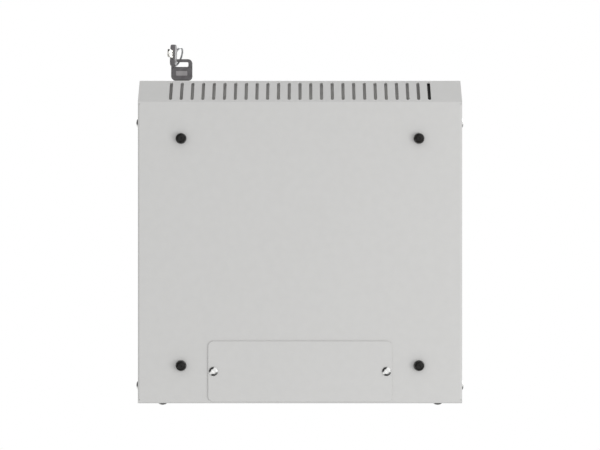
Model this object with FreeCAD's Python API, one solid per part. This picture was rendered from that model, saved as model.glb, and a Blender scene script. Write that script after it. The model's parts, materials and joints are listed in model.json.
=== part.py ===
# Ten-inch wall mount network cabinet, six units high.
# Millimetres. The origin is the centre of the rear panel's outer face, which is also the centre of
# the four wall holes. +X is to the right of someone who faces the door, +Y points into the wall, +Z
# is up. The trays wrap the body: their flanges lie outside the side panels and the rear panel.
import FreeCAD
import Part
import math
import os

V = FreeCAD.Vector
X_AXIS = V(1, 0, 0)
Y_AXIS = V(0, 1, 0)
Z_AXIS = V(0, 0, 1)
TINY = 1e-6

# Overall size
WIDTH = 300.0
DEPTH = 300.0
HEIGHT = 330.0

# Sheet metal
SHEET = 1.2
BEND = 0.8              # inner radius of every fold
FIT = 0.1               # gap between sheets that lie against each other
FLAT_FIT = 0.02         # gap under parts that are clamped flat

# Slanted ventilation band along the front of the bottom and top panels
BAND_RUN = 21.0
BAND_RISE = 21.0
NOSE = 3.0              # upright edge between the band and the ledge under the door
SLOT_PITCH = 10.0
SLOT_ROW_END = 30.0     # from a side face to the middle of the first slot
SLOT_WIDTH = 3.0
SLOT_BACK_MARGIN = 2.7  # from the fold, along the slope
SLOT_FRONT_MARGIN = 2.6

# Lips that frame the cabinet's mouth behind the door
LIP_SETBACK = 17.5
LIP_HEIGHT = 7.0
LIP_FIT = 0.3
SIDE_LIP = 16.0
TRAY_FLANGE = 32.0

# Assembly screws and their weld nuts
SCREW_R = 2.5
SCREW_HOLE_R = 2.75
SCREW_HEAD_R = 5.0
SCREW_HEAD_HEIGHT = 3.3
SCREW_LENGTH = 9.0
SCREW_RISE = 20.0       # above the bottom face
SIDE_SCREW_FROM_FRONT = 40.0
SIDE_SCREW_FROM_REAR = 15.0
REAR_SCREW_FROM_SIDE = 21.5
NUT_R = 4.6
NUT_HEIGHT = 4.0
THREAD_FIT = 0.05

# Wall holes in the rear panel
WALL_HOLE_R = 4.5
WALL_HOLE_FROM_SIDE = 50.0
WALL_HOLE_FROM_END = 45.0
REAR_FLANGE = 14.0
EARTH_FROM_SIDE = 50.0
EARTH_FROM_END = 65.0
EARTH_STUD_R = 3.0
EARTH_STUD_LENGTH = 18.0
EARTH_NUT_R = 5.5
EARTH_NUT_HEIGHT = 4.5
EARTH_WASHER_R = 6.2
EARTH_WASHER = 1.0

# Rubber feet
FOOT_FROM_SIDE = 40.0
FOOT_FROM_FRONT = 55.0
FOOT_FROM_REAR = 35.0
FOOT_R = 5.0
FOOT_HEIGHT = 6.5
FOOT_SIDE = 2.3          # height of its upright flank
FOOT_SHOULDER_R = 3.75
FOOT_SHOULDER = 5.4
FOOT_FLAT_R = 1.5
FOOT_STEM_R = 2.4
FOOT_HOLE_R = 2.5
FOOT_COLLAR_R = 3.5      # of the barb inside the floor
FOOT_COLLAR_HEIGHT = 3.0
FOOT_TIP_R = 1.5

# Cable entry and its cover plate
ENTRY_CORNER = 4.0
COVER_WIDTH = 170.0
COVER_DEPTH = 56.0
COVER_CORNER = 5.0
COVER_LAP_X = 15.0      # of the plate over each end of the cable entry
COVER_LAP_Y = 10.0
COVER_FROM_REAR = 1.7
COVER_SCREW_FROM_EDGE = 5.0
COVER_SCREW_R = 2.0
COVER_SCREW_HOLE_R = 2.1
COVER_SCREW_HEAD_R = 4.15
COVER_SCREW_HEAD_HEIGHT = 2.4
COVER_SCREW_LENGTH = 8.0
COVER_NUT_R = 4.15
COVER_NUT_HEIGHT = 3.2

# Ten-inch rails and the channels that carry them
UNIT = 44.45
UNIT_HOLES = (6.35, 22.225, 38.1)
RAIL_HOLE_FROM_SIDE = 31.75     # gives the 236.5 mm hole span of ten-inch equipment
RAIL_HOLE = 9.5
RAIL_EDGE_FROM_SIDE = 38.875    # gives the 222.25 mm opening between the rails
RAIL_FROM_FRONT = 46.0
RAIL_DEPTH = 26.0
RAIL_SHEET = 1.5
RAIL_SCREW_FROM_BACK = 9.0
RAIL_END_GAP = 19.0
CHANNEL_HEIGHT = 22.0
CHANNEL_RIM = 7.0
CHANNEL_STANDOFF = 10.7
CHANNEL_FROM_END = 53.0
CHANNEL_FRONT = 22.0
CHANNEL_REAR = 20.0
CHANNEL_SLOT = 34.0
CHANNEL_SLOT_COUNT = 4
RAIL_SCREW_R = 2.5
RAIL_SCREW_HEAD_R = 4.5
RAIL_SCREW_HEAD_HEIGHT = 2.6
RAIL_NUT_R = 4.4
RAIL_NUT_HEIGHT = 3.5

# Door
DOOR_GAP = 1.5          # to the slanted bands, above and below
DOOR_SIDE_INSET = 0.5
DOOR_THICKNESS = 13.0
DOOR_HEM = 10.0
WINDOW_FROM_SIDE = 52.0  # from the door's edge
WINDOW_FROM_END = 32.0
WINDOW_CORNER = 10.0
GLASS = 4.0
GLASS_LAP = 7.5
GASKET = 1.0
GASKET_WIDTH = 6.0
STUD_R = 2.0
STUD_LENGTH = 8.5
STUD_OFFSET = 7.0       # from the glass edge
CLIP_WIDTH = 16.0
CLIP_LAP = 5.5
CLIP_SHEET = 1.0
CLIP_EDGE_GAP = 0.7      # from the glass edge to the clip's step
CLIP_NUT_R = 3.9
CLIP_NUT_HEIGHT = 3.0
CLIP_FROM_CORNER = 55.0
BUMPER_R = 4.0
BUMPER_FROM_SIDE = 8.0
BUMPER_FROM_END = 65.0
BUMPER_FIT = 0.3

# Hinge: fixed pin below, sprung release pin above
HINGE_FROM_SIDE = 6.0
HINGE_FROM_FRONT = 8.0
PIN_R = 2.5
PIN_FIT = 0.05
PIN_STAND = 9.0         # how far the lower pin stands out of the ledge
PIN_SEAT = 3.2          # depth of a pin in its block
BLOCK_WIDTH = 30.3
BLOCK_BACK = 23.0       # from the front plane
BLOCK_HEIGHT = 15.0
BLOCK_GAP = 1.0         # to the slanted band
BLOCK_SCREW_R = 1.5
BLOCK_SCREW_HEAD_R = 3.2
BLOCK_SCREW_HEAD = 0.9
BLOCK_SCREW_LENGTH = 3.4
BLOCK_SCREWS_X = (11.0, 21.0)   # from the hinge axis
WASHER_R = 5.0
WASHER_GAP = 0.1
GUIDE_DROP = 30.0       # from the door's top edge to the pin's lower guide
GUIDE_WIDTH = 12.0
GUIDE_LEG = 12.0
PIN_TAIL = 10.0         # of the release pin below its guide
COLLAR_R = 3.6
COLLAR_HEIGHT = 2.5
COLLAR_ABOVE_GUIDE = 15.0
SPRING_R = 3.1
SPRING_WIRE_R = 0.4
SPRING_TURNS = 6
LEVER_R = 1.6
LEVER_ABOVE_GUIDE = 22.0
LEVER_LENGTH = 18.0

# Cam lock
LOCK_FROM_SIDE = 30.6
BARREL_R = 8.0
BARREL_HOLE_FIT = 0.1
BARREL_FLAT = 7.0       # from the axis to each of its two flats
BEZEL_R = 11.0
BEZEL_HEIGHT = 6.0
BEZEL_RIM = 3.6          # height of its upright side, below the cone
BEZEL_FACE_R = 9.0
PLUG_R = 6.0
PLUG_FIT = 0.05
RING_NUT_R = 12.0
RING_NUT_HEIGHT = 4.0
CAM_LENGTH = 24.0       # from the lock's axis to the tip
CAM_WIDTH = 14.0
CAM_SHEET = 2.0
CAM_GAP = 0.6           # behind the lip
CAM_TAIL = 7.0
CAM_SCREW_R = 2.0
CAM_SCREW_HEAD_R = 4.0
CAM_SCREW_HEAD_HEIGHT = 2.5
CAM_SCREW_DEPTH = 5.0
PLUG_RECESS = 0.8
PLUG_FLOOR = 1.5        # between the keyway and the cam screw

# Keys
KEY_SHEET = 2.2
KEY_BLADE_WIDTH = 7.4
KEY_NOTCHES = 4
KEY_NOTCH = 1.0
KEY_NOTCH_PITCH = 3.6
KEY_TIP = 2.4
KEYWAY_FIT = 0.06
KEY_NECK = 4.8          # from the lock's bezel to the plastic head
KEY_HEAD_WIDTH = 21.4
KEY_HEAD_LENGTH = 21.7
KEY_HEAD_THICK = 5.0
KEY_HEAD_CORNER = 4.5
KEY_LOOP_WIDTH = 13.4
KEY_LOOP_DEPTH = 4.8
KEY_LOOP_BAR = 3.0
KEY_LOOP_THICK = 1.7
KEY_LOOP_CORNER = 1.2
KEY_EDGE = 0.9
KEY_FIELD_WIDTH = 11.6
KEY_FIELD_DEPTH = 5.0
KEY_FIELD_RELIEF = 0.4
KEY_FIELD_FROM_NECK = 7.3
KEY_TANG_WIDTH = 5.4
KEY_TANG = 10.0         # of the blade, inside the plastic
RING_R = 9.6            # to the middle of its wire
RING_THICK = 1.4        # across the ring
RING_BREADTH = 1.6      # along its axis
RING_TURN = 22.0        # degrees from square to the key's bar
RING_DROP = 6.3         # of its centre below the key's middle
RING_OUT = 2.9          # of its centre in front of the key's bar
RING_X = 3.2            # of its crossing, left of the lock's axis
RING_LEAN = 16.0        # degrees, to the left, as it hangs at one end of the loop
RING_FIT = 0.3
SPARE_LIFT = 2.7        # of the spare key's bar, which rests aslant on both flanks of the ring
SPARE_SLIDE = 0.8       # of the spare key along its own bar
SPARE_TURN = 2.0        # degrees; the spare key's head hangs nearly edge on to the door
SPARE_LEAN = 6.0        # degrees, to the left, as the ring under it does

# Positions that follow from the sizes above
HALF_W = WIDTH / 2
HALF_H = HEIGHT / 2
REAR = SHEET + FIT                  # outer face of the trays' rear flanges
FRONT = REAR - DEPTH
FOLD_Y = FRONT + BAND_RUN
BAND_TOP = -HALF_H + BAND_RISE + NOSE
SLOT_COUNT = int((WIDTH - 2 * SLOT_ROW_END) / SLOT_PITCH + TINY) + 1
LIP_Y = FRONT + LIP_SETBACK
SIDE_X = HALF_W - SHEET - FIT       # outer face of a side panel
INNER_X = SIDE_X - SHEET            # inner face of a side panel
REAR_Y = -SHEET                     # inner face of the rear panel
EDGE_Z = HALF_H - SHEET - BEND - FIT    # upper edge of the side panels and the rear panel
HINGE_X = HALF_W - HINGE_FROM_SIDE
HINGE_Y = FRONT + HINGE_FROM_FRONT
LOCK_X = -(HALF_W - LOCK_FROM_SIDE)
DOOR_HALF_W = HALF_W - DOOR_SIDE_INSET
DOOR_HALF_H = -BAND_TOP - DOOR_GAP
DOOR_BACK = FRONT + DOOR_THICKNESS
DOOR_INNER = FRONT + SHEET
WINDOW_WIDTH = 2 * (DOOR_HALF_W - WINDOW_FROM_SIDE)
WINDOW_HEIGHT = 2 * (DOOR_HALF_H - WINDOW_FROM_END)
GLASS_HALF_W = WINDOW_WIDTH / 2 + GLASS_LAP
GLASS_HALF_H = WINDOW_HEIGHT / 2 + GLASS_LAP
CLIP_Z = GLASS_HALF_H - CLIP_FROM_CORNER
BUMPER_X = HALF_W - BUMPER_FROM_SIDE
BUMPER_Z = HALF_H - BUMPER_FROM_END
GLASS_Y = DOOR_INNER + GASKET
SCREW_Z = -HALF_H + SCREW_RISE
REAR_SCREW_X = HALF_W - REAR_SCREW_FROM_SIDE
WALL_HOLE_X = HALF_W - WALL_HOLE_FROM_SIDE
WALL_HOLE_Z = HALF_H - WALL_HOLE_FROM_END
EARTH_X = HALF_W - EARTH_FROM_SIDE
EARTH_Z = -HALF_H + EARTH_FROM_END
FOOT_X = HALF_W - FOOT_FROM_SIDE
SIDE_SCREWS_Y = (FRONT + SIDE_SCREW_FROM_FRONT, REAR - SIDE_SCREW_FROM_REAR)
COVER_Y = REAR - COVER_FROM_REAR - COVER_DEPTH / 2
ENTRY_WIDTH = COVER_WIDTH - 2 * COVER_LAP_X
ENTRY_DEPTH = COVER_DEPTH - 2 * COVER_LAP_Y
COVER_SCREW_X = COVER_WIDTH / 2 - COVER_SCREW_FROM_EDGE
CHANNEL_X = INNER_X - CHANNEL_STANDOFF  # face of a channel that a rail is bolted to
CHANNEL_Z = HALF_H - CHANNEL_FROM_END
RAIL_Y = FRONT + RAIL_FROM_FRONT
RAIL_X = CHANNEL_X - FLAT_FIT
RAIL_SCREW_Y = RAIL_Y + RAIL_DEPTH - RAIL_SCREW_FROM_BACK
RAIL_HOLE_X = HALF_W - RAIL_HOLE_FROM_SIDE
RAIL_EDGE_X = HALF_W - RAIL_EDGE_FROM_SIDE
RAIL_LENGTH = HEIGHT - 2 * RAIL_END_GAP
UNITS = int(RAIL_LENGTH / UNIT + TINY)
CAM_Y = LIP_Y + SHEET + CAM_GAP
BEZEL_Y = FRONT - BEZEL_HEIGHT
KEYWAY_END = CAM_Y - CAM_SCREW_DEPTH - PLUG_FLOOR
NECK_Y = BEZEL_Y - KEY_NECK         # where the key's plastic head begins
KEY_REACH = KEYWAY_END - RING_FIT - NECK_Y
GUIDE_Z = DOOR_HALF_H - GUIDE_DROP

PARTS = {}


# Helpers

def keep(name, *solids):
    """Puts one or more separate solids into the node called name."""
    shape = solids[0] if len(solids) == 1 else Part.makeCompound(list(solids))
    PARTS[name] = shape


def box(x0, x1, y0, y1, z0, z1):
    return Part.makeBox(x1 - x0, y1 - y0, z1 - z0, V(x0, y0, z0))


def rod(radius, start, direction, length):
    return Part.makeCylinder(radius, length, start, direction)


def ring(outer, inner, start, direction, length):
    return rod(outer, start, direction, length).cut(rod(inner, start, direction, length))


def hexagon(across_corners, start, direction, length):
    """A hexagonal prism; its size is the radius to a corner."""
    points = [V(across_corners * math.cos(math.radians(60 * i)),
                across_corners * math.sin(math.radians(60 * i)), 0) for i in range(6)]
    prism = Part.Face(Part.makePolygon(points + points[:1])).extrude(V(0, 0, length))
    prism.Placement = FreeCAD.Placement(start, FreeCAD.Rotation(Z_AXIS, direction))
    return prism


def domed_head(radius, height, start, direction):
    """A screw head: a flat disc under a low dome."""
    rim = height * 0.3
    dome_r = (radius ** 2 + (height - rim) ** 2) / (2 * (height - rim))
    profile = Part.Wire([
        Part.makeLine(V(0, 0, 0), V(radius, 0, 0)),
        Part.makeLine(V(radius, 0, 0), V(radius, 0, rim)),
        Part.Arc(V(radius, 0, rim), on_dome(radius * 0.6, dome_r, height), V(0, 0, height)).toShape(),
        Part.makeLine(V(0, 0, height), V(0, 0, 0))])
    head = Part.Face(profile).revolve(V(0, 0, 0), Z_AXIS, 360)
    head.Placement = FreeCAD.Placement(start, FreeCAD.Rotation(Z_AXIS, direction))
    return head


def on_dome(distance, dome_r, height):
    """The point of a dome at a distance from its axis."""
    return V(distance, 0, height - dome_r + math.sqrt(dome_r ** 2 - distance ** 2))


def rounded_corners(points, radii, closed):
    """Lines and tangent arcs along 2D points, with one radius for each point."""
    count = len(points)
    ends = []
    for i, here in enumerate(points):
        if radii[i] == 0 or (not closed and i in (0, count - 1)):
            ends.append((here, None, here))
            continue
        before = (points[i - 1] - here).normalize()
        after = (points[(i + 1) % count] - here).normalize()
        half = before.getAngle(after) / 2
        reach = radii[i] / math.tan(half)
        middle = (before + after).normalize() * (radii[i] / math.sin(half) - radii[i])
        ends.append((here + before * reach, here + middle, here + after * reach))
    edges = []
    for i, (start, middle, finish) in enumerate(ends):
        if middle is not None:
            edges.append(Part.Arc(start, middle, finish).toShape())
        following = ends[(i + 1) % count][0]
        if (i + 1 < count or closed) and finish.distanceToPoint(following) > TINY:
            edges.append(Part.makeLine(finish, following))
    return edges


def rounded_plate(width, depth, corner, thickness, centre):
    """A flat plate in the XY plane with rounded corners, its lowest face at centre."""
    w, d = width / 2, depth / 2
    corners = [V(-w, -d, 0), V(w, -d, 0), V(w, d, 0), V(-w, d, 0)]
    outline = Part.Wire(rounded_corners(corners, [corner] * 4, True))
    plate = Part.Face(outline).extrude(V(0, 0, thickness))
    plate.translate(centre)
    return plate


def folded_sheet(points, thickness, bend):
    """The closed section of a folded sheet. The points run along its outer side, and the metal lies
    to their left."""
    count = len(points)
    normals = []
    for a, b in zip(points, points[1:]):
        step = (b - a).normalize()
        normals.append(V(-step.y, step.x, 0))
    inner = [points[0] + normals[0] * thickness]
    near = [0]
    far = [0]
    for i in range(1, count - 1):
        joined = normals[i - 1] + normals[i]
        inner.append(points[i] + joined * (thickness / (1 + normals[i - 1].dot(normals[i]))))
        turn = normals[i - 1].cross(normals[i]).z
        near.append(bend + thickness if turn > 0 else bend)
        far.append(bend if turn > 0 else bend + thickness)
    inner.append(points[-1] + normals[-1] * thickness)
    near.append(0)
    far.append(0)
    first = rounded_corners(points, near, False)
    second = rounded_corners(inner, far, False)
    ends = [Part.makeLine(points[0], inner[0]), Part.makeLine(points[-1], inner[-1])]
    return Part.Face(Part.Wire(Part.__sortEdges__(first + second + ends)))


def along_x(section, start, length):
    """Extrudes a section drawn in (Y, Z) along X."""
    section.Placement = FreeCAD.Placement(V(start, 0, 0), FreeCAD.Rotation(V(0, 1, 0), V(0, 0, 1), V(1, 0, 0)))
    return section.extrude(V(length, 0, 0))


def along_y(section, start, length):
    """Extrudes a section drawn in (X, Z) along Y."""
    section.Placement = FreeCAD.Placement(V(0, start, 0), FreeCAD.Rotation(V(1, 0, 0), V(0, 0, 1), V(0, -1, 0)))
    return section.extrude(V(0, length, 0))


def along_z(section, start, length):
    """Extrudes a section drawn in (X, Y) along Z."""
    section.translate(V(0, 0, start))
    return section.extrude(V(0, 0, length))


def mirrored(shape, normal):
    """The shape's mirror image through the origin, across the plane with this normal."""
    return shape.mirror(V(0, 0, 0), normal)


def both_levels(shape):
    return [shape, mirrored(shape, Z_AXIS)]


def both_sides(shape):
    return [shape, mirrored(shape, X_AXIS)]


# Bottom and top panels

def slot_cutter():
    """One ventilation slot, cut square through the slanted band in the middle of the cabinet."""
    slope = V(0, -BAND_RUN, BAND_RISE)
    length = slope.Length - SLOT_BACK_MARGIN - SLOT_FRONT_MARGIN
    slope.normalize()
    outward = X_AXIS.cross(slope)
    half = length / 2 - SLOT_WIDTH / 2
    r = SLOT_WIDTH / 2
    outline = Part.Wire([
        Part.makeLine(V(r, -half, 0), V(r, half, 0)),
        Part.Arc(V(r, half, 0), V(0, half + r, 0), V(-r, half, 0)).toShape(),
        Part.makeLine(V(-r, half, 0), V(-r, -half, 0)),
        Part.Arc(V(-r, -half, 0), V(0, -half - r, 0), V(r, -half, 0)).toShape()])
    cutter = Part.Face(outline).extrude(V(0, 0, 4 * SHEET))
    middle = V(0, FOLD_Y, -HALF_H) + slope * (SLOT_BACK_MARGIN + length / 2) - outward * (2.5 * SHEET)
    cutter.Placement = FreeCAD.Placement(middle, FreeCAD.Rotation(X_AXIS, slope, outward))
    return cutter


def tray():
    """The bottom panel without its foot holes: rear flange, floor, slanted band, ledge and lip in one
    folded strip, with a flange folded up on each side."""
    strip = along_x(folded_sheet([
        V(LIP_Y, BAND_TOP + LIP_HEIGHT, 0),
        V(LIP_Y, BAND_TOP, 0),
        V(FRONT, BAND_TOP, 0),
        V(FRONT, BAND_TOP - NOSE, 0),
        V(FOLD_Y, -HALF_H, 0),
        V(REAR, -HALF_H, 0),
        V(REAR, -HALF_H + TRAY_FLANGE, 0)], SHEET, BEND), -HALF_W, WIDTH)
    fold_x = HALF_W - SHEET - BEND
    flange_front = FOLD_Y + 2 * SHEET
    flange_rear = REAR - 3 * SHEET
    relief = SHEET / 2
    edge = box(fold_x, HALF_W + 1, flange_front - relief, flange_rear + relief, -HALF_H - 1, -HALF_H + BEND)
    flange = along_y(folded_sheet([
        V(fold_x, -HALF_H, 0),
        V(HALF_W, -HALF_H, 0),
        V(HALF_W, -HALF_H + TRAY_FLANGE, 0)], SHEET, BEND), flange_front, flange_rear - flange_front)
    panel = strip.cut(both_sides(edge)).fuse(both_sides(flange)).removeSplitter()
    slot = slot_cutter()
    cuts = []
    for i in range(SLOT_COUNT):
        copy = slot.copy()
        copy.translate(V((i - (SLOT_COUNT - 1) / 2) * SLOT_PITCH, 0, 0))
        cuts.append(copy)
    below = V(0, COVER_Y, -HALF_H - SHEET)
    cuts.append(rounded_plate(ENTRY_WIDTH, ENTRY_DEPTH, ENTRY_CORNER, 3 * SHEET, below))
    cuts += both_sides(rod(COVER_SCREW_HOLE_R, V(COVER_SCREW_X, COVER_Y, -HALF_H - 1), Z_AXIS, 2 * SHEET + 2))
    cuts += both_sides(rod(SCREW_HOLE_R, V(REAR_SCREW_X, REAR - 3 * SHEET, SCREW_Z), Y_AXIS, 5 * SHEET))
    for y in SIDE_SCREWS_Y:
        cuts += both_sides(rod(SCREW_HOLE_R, V(HALF_W - 3 * SHEET, y, SCREW_Z), X_AXIS, 5 * SHEET))
    ledge = BAND_TOP - SHEET - 1
    cuts.append(rod(PIN_R + PIN_FIT, V(HINGE_X, HINGE_Y, ledge), Z_AXIS, SHEET + 2))
    for offset in BLOCK_SCREWS_X:
        cuts.append(rod(BLOCK_SCREW_R + THREAD_FIT, V(HINGE_X - offset, HINGE_Y, ledge), Z_AXIS, SHEET + 2))
    return panel.cut(cuts)


def foot_places():
    rear = REAR - FOOT_FROM_REAR
    front = FRONT + FOOT_FROM_FRONT
    return {"front_left": (-FOOT_X, front), "front_right": (FOOT_X, front),
            "rear_left": (-FOOT_X, rear), "rear_right": (FOOT_X, rear)}


def make_panels():
    panel = tray()
    holes = [rod(FOOT_HOLE_R, V(x, y, -HALF_H - 1), Z_AXIS, SHEET + 2) for x, y in foot_places().values()]
    keep("bottom_panel", panel.cut(holes))
    keep("top_panel", mirrored(panel, Z_AXIS))


# Side and rear panels

def band_limit(y, gap):
    """Height of the line that runs gap inside the slanted band, at this depth."""
    slope = math.hypot(BAND_RUN, BAND_RISE)
    return BAND_TOP - NOSE + (SHEET + gap) * slope / BAND_RUN - (y - FRONT) * BAND_RISE / BAND_RUN


def make_sides():
    """Side panels inside the trays' flanges. They follow the slanted bands and ledges from inside, and
    fold into a lip at the mouth."""
    nose_y = FRONT + SHEET + FIT
    toe_y = nose_y + (band_limit(nose_y, FIT) + EDGE_Z) * BAND_RUN / BAND_RISE
    under_ledge = BAND_TOP - SHEET - FIT
    outline = [V(0, 0, -EDGE_Z), V(0, toe_y, -EDGE_Z), V(0, nose_y, band_limit(nose_y, FIT)),
               V(0, nose_y, under_ledge - BEND), V(0, nose_y + BEND, under_ledge),
               V(0, LIP_Y + SHEET + FIT, under_ledge)]
    outline += [V(0, p.y, -p.z) for p in reversed(outline)]
    plate = Part.Face(Part.makePolygon(outline + outline[:1])).extrude(V(SHEET, 0, 0))
    plate.translate(V(INNER_X, 0, 0))
    lip_half = -BAND_TOP - LIP_HEIGHT - LIP_FIT
    fold_y = LIP_Y + SHEET + BEND
    plate = plate.cut(box(INNER_X - 1, HALF_W, LIP_Y - 1, fold_y, -lip_half, lip_half))
    lip = along_z(folded_sheet([
        V(HALF_W - SIDE_LIP, LIP_Y, 0),
        V(SIDE_X, LIP_Y, 0),
        V(SIDE_X, fold_y, 0)], SHEET, BEND), -lip_half, 2 * lip_half)
    side = plate.fuse(lip).removeSplitter()
    holes = []
    for y in SIDE_SCREWS_Y:
        holes += both_levels(rod(SCREW_HOLE_R, V(INNER_X - 1, y, SCREW_Z), X_AXIS, SHEET + 2))
    side = side.cut(holes)
    keep("right_side_panel", side)
    left = mirrored(side, X_AXIS)
    bumper_hole = rod(BUMPER_R / 2, V(-BUMPER_X, LIP_Y - 1, BUMPER_Z), Y_AXIS, SHEET + 2)
    keep("left_side_panel", left.cut(both_levels(bumper_hole)))


def make_bumpers():
    """Rubber pads on the lip, which the closed door rests against, each with a stem through its hole."""
    thickness = LIP_Y - DOOR_BACK - BUMPER_FIT
    pads = []
    for z in (-BUMPER_Z, BUMPER_Z):
        pad = rod(BUMPER_R, V(-BUMPER_X, LIP_Y - thickness, z), Y_AXIS, thickness)
        stem = rod(BUMPER_R / 2 - THREAD_FIT, V(-BUMPER_X, LIP_Y, z), Y_AXIS, SHEET + 2)
        pads.append(pad.fuse(stem))
    keep("door_bumpers", *pads)


def make_rear():
    """The rear panel inside the trays' rear flanges, with a flange folded forward along each side."""
    edge_x = INNER_X - FIT
    fold_x = edge_x - SHEET - BEND
    flange_half = HALF_H - TRAY_FLANGE - 2 * SHEET
    plate = box(-edge_x, edge_x, REAR_Y, 0, -EDGE_Z, EDGE_Z)
    plate = plate.cut(both_sides(box(fold_x, edge_x + 1, REAR_Y - 1, 1, -flange_half, flange_half)))
    flange = along_z(folded_sheet([
        V(edge_x, -REAR_FLANGE, 0),
        V(edge_x, 0, 0),
        V(fold_x, 0, 0)], SHEET, BEND), -flange_half, 2 * flange_half)
    rear = plate.fuse(both_sides(flange)).removeSplitter()
    holes = []
    for radius, x, z in ((WALL_HOLE_R, WALL_HOLE_X, WALL_HOLE_Z), (SCREW_HOLE_R, REAR_SCREW_X, SCREW_Z)):
        for hole in both_sides(rod(radius, V(x, REAR_Y - 1, z), Y_AXIS, SHEET + 2)):
            holes += both_levels(hole)
    keep("rear_panel", rear.cut(holes))


def make_earth_stud():
    """A welded stud inside the rear panel, with a washer and two nuts for the earth lead."""
    start = V(EARTH_X, REAR_Y, EARTH_Z)
    inward = V(0, -1, 0)
    keep("earth_stud", rod(EARTH_STUD_R, start, inward, EARTH_STUD_LENGTH))
    bore = EARTH_STUD_R + THREAD_FIT
    first = start + inward * FLAT_FIT
    washer = first + inward * EARTH_NUT_HEIGHT
    second = washer + inward * EARTH_WASHER
    stack = [hexagon(EARTH_NUT_R, p, inward, EARTH_NUT_HEIGHT).cut(rod(bore, p, inward, EARTH_NUT_HEIGHT))
             for p in (first, second)]
    keep("earth_nuts", *stack)
    keep("earth_washer", ring(EARTH_WASHER_R, bore, washer, inward, EARTH_WASHER))


# Assembly screws

def make_assembly_screws():
    side_screws = []
    nuts = []
    for y in SIDE_SCREWS_Y:
        seat = V(HALF_W, y, SCREW_Z)
        head = domed_head(SCREW_HEAD_R, SCREW_HEAD_HEIGHT, seat, X_AXIS)
        screw = head.fuse(rod(SCREW_R, seat, -X_AXIS, SCREW_LENGTH))
        nut_seat = V(INNER_X, y, SCREW_Z)
        nut = hexagon(NUT_R, nut_seat, -X_AXIS, NUT_HEIGHT)
        nut = nut.cut(rod(SCREW_R + THREAD_FIT, nut_seat, -X_AXIS, NUT_HEIGHT))
        for solid in both_sides(screw):
            side_screws += both_levels(solid)
        for solid in both_sides(nut):
            nuts += both_levels(solid)
    rear_screws = []
    seat = V(REAR_SCREW_X, REAR, SCREW_Z)
    head = domed_head(SCREW_HEAD_R, SCREW_HEAD_HEIGHT, seat, Y_AXIS)
    screw = head.fuse(rod(SCREW_R, seat, -Y_AXIS, SCREW_LENGTH))
    nut_seat = V(REAR_SCREW_X, REAR_Y, SCREW_Z)
    nut = hexagon(NUT_R, nut_seat, -Y_AXIS, NUT_HEIGHT)
    nut = nut.cut(rod(SCREW_R + THREAD_FIT, nut_seat, -Y_AXIS, NUT_HEIGHT))
    for solid in both_sides(screw):
        rear_screws += both_levels(solid)
    for solid in both_sides(nut):
        nuts += both_levels(solid)
    keep("side_screws", *side_screws)
    keep("rear_screws", *rear_screws)
    keep("weld_nuts", *nuts)


# Feet and cable entry covers

def make_feet():
    """Round rubber feet: a domed button with a stem pushed through the floor and a collar inside."""
    shoulder = V(FOOT_SHOULDER_R, 0, FOOT_SHOULDER)
    for place, (x, y) in foot_places().items():
        button = Part.Face(Part.Wire([
            Part.makeLine(V(0, 0, 0), V(FOOT_R, 0, 0)),
            Part.makeLine(V(FOOT_R, 0, 0), V(FOOT_R, 0, FOOT_SIDE)),
            Part.Arc(V(FOOT_R, 0, FOOT_SIDE), shoulder, V(FOOT_FLAT_R, 0, FOOT_HEIGHT)).toShape(),
            Part.makeLine(V(FOOT_FLAT_R, 0, FOOT_HEIGHT), V(0, 0, FOOT_HEIGHT)),
            Part.makeLine(V(0, 0, FOOT_HEIGHT), V(0, 0, 0))])).revolve(V(0, 0, 0), Z_AXIS, 360)
        button.Placement = FreeCAD.Placement(V(x, y, -HALF_H), FreeCAD.Rotation(Z_AXIS, -Z_AXIS))
        stem = rod(FOOT_STEM_R, V(x, y, -HALF_H), Z_AXIS, SHEET + FIT)
        collar_seat = V(x, y, -HALF_H + SHEET + FIT / 2)
        collar = Part.makeCone(FOOT_COLLAR_R, FOOT_TIP_R, FOOT_COLLAR_HEIGHT, collar_seat, Z_AXIS)
        keep("rubber_foot_" + place, button.fuse([stem, collar]))


def make_covers():
    underside = V(0, COVER_Y, -HALF_H - SHEET)
    plate = rounded_plate(COVER_WIDTH, COVER_DEPTH, COVER_CORNER, SHEET, underside)
    seat = V(COVER_SCREW_X, COVER_Y, -HALF_H - SHEET)
    plate = plate.cut(both_sides(rod(COVER_SCREW_HOLE_R, seat, Z_AXIS, SHEET)))
    screw = domed_head(COVER_SCREW_HEAD_R, COVER_SCREW_HEAD_HEIGHT, seat, -Z_AXIS)
    screw = screw.fuse(rod(COVER_SCREW_R, seat, Z_AXIS, COVER_SCREW_LENGTH))
    nut_seat = V(COVER_SCREW_X, COVER_Y, -HALF_H + SHEET)
    nut = hexagon(COVER_NUT_R, nut_seat, Z_AXIS, COVER_NUT_HEIGHT)
    nut = nut.cut(rod(COVER_SCREW_R + THREAD_FIT, nut_seat, Z_AXIS, COVER_NUT_HEIGHT))
    screws = both_sides(screw)
    nuts = both_sides(nut)
    keep("bottom_entry_cover", plate)
    keep("top_entry_cover", mirrored(plate, Z_AXIS))
    keep("bottom_cover_screws", *screws)
    keep("top_cover_screws", *[mirrored(s, Z_AXIS) for s in screws])
    keep("cover_weld_nuts", *nuts, *[mirrored(n, Z_AXIS) for n in nuts])


# Rails and channels

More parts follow.
